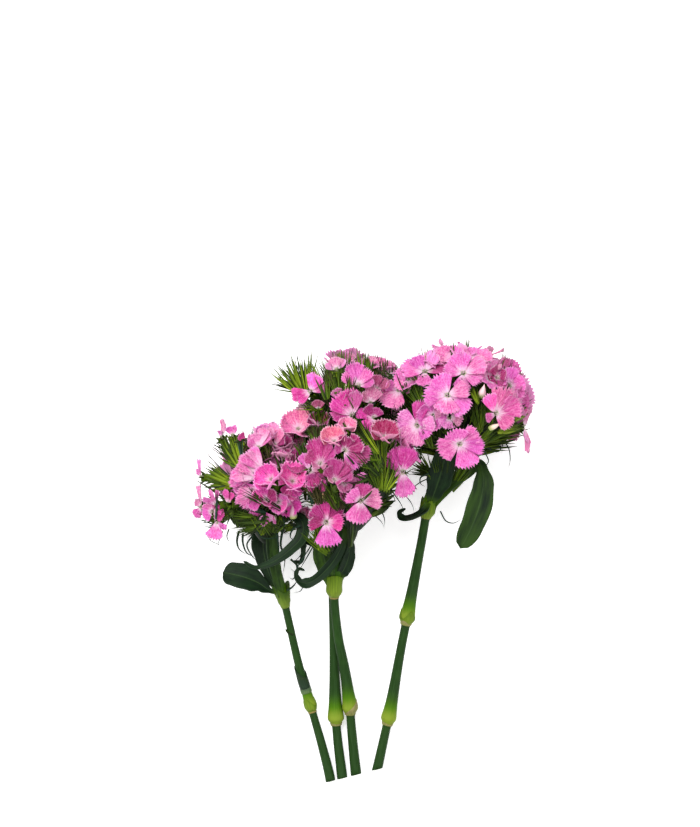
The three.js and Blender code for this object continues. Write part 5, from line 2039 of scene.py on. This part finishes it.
MIDDLE_SHEAVES = (
    (10, 38, 72.5, 11, 50, 74, 14, 8, FRESH, 0.55), (10, 43, 70, 10, 60, 69, 8, 2, FRESH, 0.56),
    (12, 37, 67, 13, 57, 67, 9, 4, MID, 0.5), (11, 37, 67.5, 17, 48, 65, 10, 3.5, MID, 0.43),
    (11, 38, 66, 4, 56, 70.5, 16, 4, DARK, 0.56), (11, 38, 67, 0, 44, 72.5, 14, 4, DARK, 0.56),
    (10, 40, 70, 2, 50, 74, 5, 4, MID, 0.5), (-29, 53, 56, -35, 61, 54, 4, 1, MID, 0.5),
    (-29, 53, 57, -30, 61, 53, 5, 1.5, FRESH, 0.5), (-30, 51, 53, -32, 59, 50, 10, 2.5, DARK, 0.5),
    (-22, 61, 60.5, -23, 71, 53, 11, 2.5, BROWN, 0.42), (-16, 60, 68, -20, 70, 58, 6, 1, DARK, 0.42),
    (-7, 65, 70.5, -11, 73, 63, 3, 0.5, MID, 0.45), (-13, 31, 63.5, -16, 41, 70, 19, 6, DARK, 0.56),
    (-12, 32, 66.5, -14, 40, 72.5, 6, 4.5, MID, 0.5), (-25, 31, 58.5, -27, 40, 63.5, 8, 1.5, BLUE, 0.43),
    (-5, 27, 65.5, -8, 34, 72.5, 8, 2, MID, 0.42), (-11, 54, 70, -15, 59, 70, 6, 1.5, DARK, 0.43),
    (-16, 42, 68, -20, 44, 69, 8, 2, DARK, 0.43), (-1, 43, 70.5, -5, 46, 74, 10, 2, DARK, 0.43),
    (-18, 6, 48, -31, 18, 52, 11, 4.5, MID, 0.56), (-21, 8, 48, -24, 22, 50, 10, 3.5, FRESH, 0.5),
    (-18, 6, 46, -15, 22, 56.5, 14, 6, DARK, 0.62), (-6, 9, 45, -5, 24, 62, 8, 2.5, DARK, 0.68),
    (-5, 51, 77.5, -9, 56, 78, 2, 0.5, DARK, 0.5), (5, 48, 76.5, -4, 50, 79.5, 3, 1.5, MID, 0.4),
    (8, 52, 75, -1, 52, 79.5, 3, 1.5, MID, 0.4), (1, 42, 77.5, -6, 39, 78, 2, 1, DARK, 0.45),
    (4, 36, 77, -3, 29, 77, 3, 1, DARK, 0.35), (-11, 28, 63, -14, 40, 72, 16, 7, BROWN, 0.43),
    (-13, 29, 65, -16, 39, 71.5, 13, 4, MID, 0.43), (-29, 37, 53.5, -31, 43, 56, 10, 2.5, BROWN, 0.43),
    (-22, 58, 64, -23, 72, 53, 14, 5.5, BROWN, 0.43), (-18, 59, 65.5, -19, 71, 54, 11, 4, MID, 0.42),
    (-27, 53, 61, -29, 65, 53, 13, 5, DARK, 0.43), (-29, 51, 58, -30, 62, 53, 10, 3, MID, 0.42),
    (-32, 46, 53, -33, 57, 53, 11, 4, BROWN, 0.43), (-21, 31, 63.5, -24, 42, 69, 13, 6, BROWN, 0.43),
    (5, 38, 73.5, -4, 48, 78, 13, 6, DARK, 0.43), (7, 39, 73, 2, 52, 77, 10, 5, MID, 0.42),
    (2, 43, 78.5, -11, 47, 79, 3, 2, DARK, 0.4), (7, 45, 77, -5, 56, 79.5, 4, 3.5, DARK, 0.45),
    (-6, 28, 71, -12, 36, 76, 4, 2.5, DARK, 0.45), (9, 49, 75, -5, 72, 61.5, 14, 4.5, DARK, 0.68),
    (9, 47, 76, 0, 67, 70, 11, 4, MID, 0.5), (7, 56, 75.5, -4, 70, 68, 5, 3.5, FRESH, 0.4),
    (-22, 59, 65, -28, 69, 55, 7, 3, MID, 0.5),
)
MIDDLE_THREADS = (
    (0.55, (9, 40, 46), (13, 38, 42), (17, 33, 38), (20, 28, 34), (21, 22, 30)),
    (0.45, (11, 38, 44), (21, 34, 39.5), (25, 29, 34.5), (26, 24, 30)),
    (0.5, (2, 36, 52), (9, 37, 50.5), (14, 35, 49), (16, 32, 47.5), (12, 30, 46)),
    (0.5, (9, 34, 48), (12, 33, 47.5), (12, 31, 47.5), (10, 30, 47)),
    (0.55, (2, 27, 44), (9, 26, 41.5), (11, 22, 38.5), (11, 18, 36)),
    (0.4, (2, 26, 42), (6, 24, 40), (10, 20, 38), (11, 17, 36)),
    (0.5, (-30, 22, 40), (-34, 20, 37), (-35, 15, 34)), (0.5, (-28, 9, 40), (-31, 4, 38), (-35, 0, 36)),
    (0.45, (-23, 14, 42), (-27, 7, 40.5), (-31, 1, 39), (-34, -4, 37.5), (-37, -1, 36)),
)
RIGHT_BLOOMS = (
    (48, 60, 64.5, 2, -14, ORCHID, ((-2.5, 7.5, 4, 6), (9.5, 6.5, 2, 5), (13, -2, 0, 4),
     (5.5, -12.5, 0, 6), (-11, -4.5, 0, 6.5))),
    (42, 84, 66.5, -8, 5, LIGHT, ((-5, 11, 0, 6), (-12.5, 0.5, -1, 6), (-1, -9.5, 3, 6.5),
     (11, 4.5, 2, 4.5), (10.5, -8.5, 1, 5.5))),
    (27, 69, 59.5, -15, -5, PALE, ((-5.5, -9, 0, 7.5), (-10.5, 4, 0, 6), (2, 13, 1.5, 4.5, MAUVE),
     (9.5, 1.5, 3, 4, PALE), (6.5, -5.5, 2, 4, ORCHID))),
    (18, 87, 45, -35, 10, LIGHT, ((1.5, 11.5, 1, 4), (-10, -6.5, 0, 6.5), (-1, -10, 3, 4.5),
     (6, 1.5, 4, 3.5), (-6.5, 2.5, 2, 3))),
    (31, 96, 52.5, -12, 40, ORCHID, ((-12.5, 2, 0, 5.5), (-5.5, 8, 0, 4), (5, 10.5, 0, 4.5, PALE),
     (13.5, 2.5, 2, 4, MAUVE), (-0.5, -7.5, 3, 4))),
    (50, 95, 62, 5, 30, LIGHT, ((11.5, 6.5, 0, 5.5), (9.5, -3.5, 2, 5), (-1, -9, 3, 4.5),
     (-10, 3.5, 1, 5), (-2, 11, 0, 5.5))),
    (66, 75, 63.5, 22, -5, ROSE, ((6, 13.5, 2, 6.5), (13, 5.5, 0, 6), (-4, 10, 4, 4, BRIGHT),
     (8, -6.5, 2, 4.5), (-5, -3, 3, 2.5))),
    (50, 105, 44, 0, 60, PALE, ((-6, 2, 2, 3.5), (0, 5, 3, 3), (7, 1.5, 1, 3), (3.5, -4, 3, 3))),
    (41, 108, 36.5, -10, 78, DUSTY, ((-6.5, 1, 1, 3.5), (-2, 4.5, 2, 3), (4.5, 1, 1, 3.5))),
    (54, 107, 35.5, 5, 80, MAUVE, ((-6, 4, 3, 2.5), (5.5, 1.5, 3, 2.5))),
    (61, 104, 37, 30, 78, DUSTY, ((3, 5, 3, 3), (10, 4, 2, 3.5), (8, -1.5, 1, 3.5))),
    (67, 93, 55.5, 30, 35, MAGENTA, ((-4.5, -3.5, 2, 4), (4.5, 2.5, 2, 3.5), (-1.5, 6, 3, 3),
     (4, -5, 3, 3))),
    (73, 89, 51.5, 50, 20, ORCHID, ((2, 9.5, 1, 5), (8.5, 2.5, -1, 4.5), (9, -4.5, -1, 4.5),
     (2, -7, 2, 3.5))),
    (65, 96, 52.5, 30, 50, PALE, ((1, 6, 1, 2), (4, 3.5, 1, 1.5))),
    (43, 73, 62.5, -6, -25, PALE, ((-7, 3.5, 1, 4.5), (-2.5, -5.5, 1, 4.5), (7, -0.5, 1, 4.5))),
    (81, 68, 42, 66, -5, PALE, ((2.5, 11, -2, 4, DUSTY), (3.5, -12.5, -3, 4.5, LIGHT),
     (2, -7.5, 1, 3.5))),
    (63, 92, 55.5, 32, 38, ORCHID, (10, 24)), (72, 95, 44.5, 45, 35, ROSE, (9, 30)),
    (57, 102, 47.5, 15, 55, LIGHT, (9, 24)), (44, 102, 47.5, -5, 55, LIGHT, (9, 25)),
    (37, 101, 47.5, -10, 60, PALE, (8.5, 25)), (77, 81, 49.5, 65, 5, ROSE, (8.5, 30)),
    (23, 92, 46, -30, 30, LIGHT, (9, 25)), (35, 74, 60, -15, -10, ORCHID, (8.5, 25)),
)
RIGHT_SHEAVES = (
    (29, 80, 56.5, 24, 90, 52, 16, 4.5, MID, 0.43), (58, 67, 58, 56, 80, 63, 16, 4, MID, 0.43),
    (45, 63, 58.5, 42, 70, 64, 13, 3.5, MID, 0.43), (21, 86, 51, 17, 96, 39.5, 11, 3, DARK, 0.42),
    (26, 92, 53, 20, 101, 39.5, 6, 3, MID, 0.4), (33, 99, 50.5, 31, 109, 39.5, 6, 2.5, FRESH, 0.35),
    (45, 104, 47.5, 44, 113, 39.5, 4, 2, MID, 0.35), (52, 107, 37.5, 53, 115, 39.5, 4, 1.5, MID, 0.35),
    (69, 99, 45, 73, 107, 39.5, 5, 2, MID, 0.35), (77, 90, 46.5, 82, 98, 39.5, 5, 2.5, MID, 0.35),
    (78, 76, 50.5, 84, 83, 37.5, 7, 2.5, MID, 0.45), (76, 72, 52.5, 83, 75, 39.5, 6, 2, FRESH, 0.5),
    (57, 81, 62.5, 54, 88, 64, 10, 2, FRESH, 0.43), (34, 59, 55, 30, 69, 62.5, 6, 3, MID, 0.5),
    (20, 59, 41, 17, 65, 45, 6, 2, MID, 0.5), (31, 99, 45, 29, 109, 38.5, 6, 3, DARK, 0.4),
    (23, 92, 46.5, 16, 101, 37.5, 4, 2, MID, 0.35), (18, 90, 40.5, 4, 99, 37.5, 5, 2.5, DARK, 0.35),
    (47, 82, 57.5, 47, 93, 58.5, 14, 3, DARK, 0.43), (46, 86, 60.5, 46, 94, 60, 4, 2, MID, 0.45),
    (44, 61, 58.5, 40, 66, 63.5, 4, 2, MID, 0.5), (53, 62, 59, 52, 68, 64.5, 4, 1.5, DARK, 0.5),
    (64, 70, 56, 62, 82, 62, 11, 3.5, MID, 0.42), (57, 83, 57, 56, 90, 58.5, 10, 3, DARK, 0.43),
    (71, 90, 50, 75, 103, 39.5, 7, 4, DARK, 0.4), (76, 78, 50, 81, 87, 39.5, 9, 5, DARK, 0.4),
    (72, 83, 50.5, 76, 89, 46, 13, 4, DARK, 0.42), (68, 66, 55.5, 81, 68, 43.5, 13, 2.5, FRESH, 0.62),
    (58, 60, 55.5, 69, 68, 56.5, 16, 4, MID, 0.62), (55, 59, 54.5, 62, 67, 59, 13, 4, FRESH, 0.5),
    (69, 72, 52.5, 79, 79, 46, 13, 4, DARK, 0.5), (33, 45, 34.5, 23, 48, 35.5, 14, 3, DARK, 0.56),
    (33, 47, 31.5, 26, 56, 44.5, 11, 4, MID, 0.43), (28, 52, 34, 25, 59, 45.5, 11, 4, DARK, 0.5),
    (17, 66, 37, 15, 75, 41.5, 13, 4, DARK, 0.5), (58, 102, 46, 60, 106, 39.5, 8, 2, FRESH, 0.42),
    (39, 37, 29.5, 34, 52, 43, 13, 4.5, MID, 0.62), (42, 37, 27.5, 44, 51, 43.5, 14, 5, DARK, 0.74),
    (45, 37, 28.5, 55, 53, 48, 14, 4.5, MID, 0.62), (34, 82, 54.5, 33, 89, 55.5, 13, 4.5, DARK, 0.5),
    (37, 63, 52, 35, 78, 58.5, 14, 5, DARK, 0.5), (57, 70, 55.5, 58, 82, 59, 14, 5, DARK, 0.5),
    (48, 68, 56, 47, 76, 61, 13, 5, DARK, 0.5), (42, 106, 38.5, 42, 110, 39.5, 8, 2, BROWN, 0.42),
)
RIGHT_THREADS = (
    (0.75, (61, 59, 42), (64, 57, 41.5), (67, 56, 41), (69, 57, 41), (68, 59, 40.5), (65, 60, 40)),
    (0.5, (60, 58, 42), (62, 54, 40), (63, 51, 38), (61, 48, 36), (59, 46, 34)),
    (0.45, (67, 64, 40), (70, 61, 36.5), (70, 58, 33.5), (70, 54, 30)),
    (0.5, (69, 63, 38), (73, 58, 35), (74, 54, 32), (74, 50, 29), (73, 47, 26)),
    (0.5, (59, 57, 42), (56, 54, 41.5), (54, 50, 40.5), (53, 47, 40)),
    (0.6, (33, 45, 44), (29, 43, 43.5), (29, 40, 42.5), (32, 38, 42)),
    (0.5, (39, 26, 30), (42, 21, 29.5), (46, 20, 28.5), (51, 23, 28)),
    (0.4, (34, 43, 40), (28, 40, 38), (21, 34, 36), (17, 32, 34)),
)
HEADS = (
    Head(
        "left", Dome(Vector((-55, 40, 29)), Vector((28.5, 29, 29)), ((-64, 54), (-68, 42), (-77, 27))),
        ((-49, 38, 27), (14, 19, 16)),
        LEFT_BLOOMS, ((-34.5, 23, 45, -0.5, 7, 2, 2.6, (0.66, 0.38, 0.5)),),
        ((-53, 37),), LEFT_SHEAVES, LEFT_THREADS,
    ),
    Head(
        "rear", Dome(Vector((-10, 79, 27)), Vector((27, 24, 27)), ((-32, 90),)),
        ((-8, 77, 26), (17, 15, 17)),
        REAR_BLOOMS, ((-8.5, 86.5, 50, 0.3, 3.5, 2.5, 1.3, (0.8, 0.74, 0.55)),),
        ((-12, 82),), REAR_SHEAVES, (),
    ),
    Head(
        "middle", Dome(Vector((-4, 46, 48)), Vector((29, 30, 28)), ((10, 40),)),
        ((-4, 44, 44), (18, 19, 18)),
        MIDDLE_BLOOMS, ((-19.5, 33, 63, 0.5, 5, 3, 1.5, (0.45, 0.26, 0.1)),),
        (), MIDDLE_SHEAVES, MIDDLE_THREADS,
    ),
    Head(
        "right", Dome(Vector((48, 76, 33)), Vector((36, 31, 33))),
        ((48, 76, 31), (23, 20, 20)),
        RIGHT_BLOOMS,
        ((59, 83.5, 59, 1.5, 6.5, 4, 2.6, (0.85, 0.6, 0.6)),
         (63, 67.5, 60, 6.5, 3, 2, 1.7, (0.82, 0.62, 0.5))),
        ((42, 78), (60, 68)), RIGHT_SHEAVES, RIGHT_THREADS,
    ),
)


# --- studio


@dataclass(frozen=True)
class Lamp:
    """A soft square light that looks at the plant: where it hangs, its side and its watts."""

    name: str
    spot: Spot
    size: float
    power: float

    def hang(self, target: Vector) -> None:
        """Hangs it.

        Args:
            target: The point that it looks at.
        """
        data = bpy.data.lights.new(self.name, "AREA")
        data.shape, data.size, data.energy = "SQUARE", self.size, self.power
        light = stand(self.name, data)
        light.location = self.spot
        light.rotation_euler = (target - Vector(self.spot)).to_track_quat("-Z", "Y").to_euler()


@dataclass
class Studio:
    """A white paper floor, soft lights, and a camera that looks straight down. In metres."""

    middle: tuple[float, float] = (-0.00609, 0.07419)  # what the camera looks at
    width: float = 0.350  # what it sees across
    focus: float = 0.040  # the height at which it sees that width
    lens: float = 257.0
    sensor: float = 36.0
    floor_drop: float = 0.0002
    sky: float = 0.68
    target: Spot = (0, 0.02, 0.03)
    lamps: tuple[Lamp, ...] = (
        Lamp("key", (-0.9, 1.1, 1.8), 1.7, 60.0),
        Lamp("fill", (1.2, -0.6, 1.8), 2.8, 20.0),
        Lamp("top", (0.0, 0.1, 2.6), 2.4, 14.0),
    )

    def build(self, paper: Material) -> None:
        """Sets the studio.

        Args:
            paper: Material of the floor.
        """
        bm = bmesh.new()
        bmesh.ops.create_grid(bm, x_segments=8, y_segments=8, size=3.0)
        mesh = Unit.keep(bm, "floor")
        mesh.materials.append(paper)
        floor = stand("floor", mesh)
        floor.location.z = -self.floor_drop
        for lamp in self.lamps:
            lamp.hang(Vector(self.target))
        world = bpy.data.worlds.new("studio")
        world.use_nodes = True
        back = world.node_tree.nodes["Background"]
        back.inputs["Color"].default_value = (1, 1, 1, 1)
        back.inputs["Strength"].default_value = self.sky
        bpy.context.scene.world = world
        bpy.context.scene.view_settings.view_transform = "Standard"
        lens = bpy.data.cameras.new("camera")
        lens.sensor_fit = "HORIZONTAL"
        lens.sensor_width = self.sensor
        lens.lens = self.lens
        lens.clip_start, lens.clip_end = 0.05, 20.0
        camera = stand("camera", lens)
        distance = self.width * self.lens / self.sensor
        camera.location = (*self.middle, self.focus + distance)
        bpy.context.scene.camera = camera


# --- assembly


def main() -> None:
    """Builds the plant in order and reports each piece."""
    logging.basicConfig(level=logging.INFO, format="%(message)s")
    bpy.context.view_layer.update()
    Studio().build(Paper().material())
    skin, pith, leaf_skin = StalkSkin().material(), CutFace().material(), LeafSkin().material()
    face, back = PetalFace().material(), PetalBack().material()
    green, silk = BractGreen().material(), Silk().material()
    for stalk in STALKS:
        stalk.build(skin, pith)
    for seed, leaf in enumerate(LEAVES):
        leaf.build(leaf_skin, seed)
    collars, unit = Mould("collars"), Unit.tube(*COLLAR_FACES)
    for collar in COLLARS:
        collar.add_to(collars, unit)
    collars.finish([green], "leaf", thickness=COLLAR_THICKNESS)
    for index, head in enumerate(HEADS):
        head.index, head.others = index, tuple(h.dome for h in HEADS if h is not head)
        head.place_blooms()
    trees = [head.build_petals(face, back) for head in HEADS]
    for head in HEADS:
        head.build_styles(silk)
        Greens(head, trees).build(green)


if __name__ == "__main__":
    main()
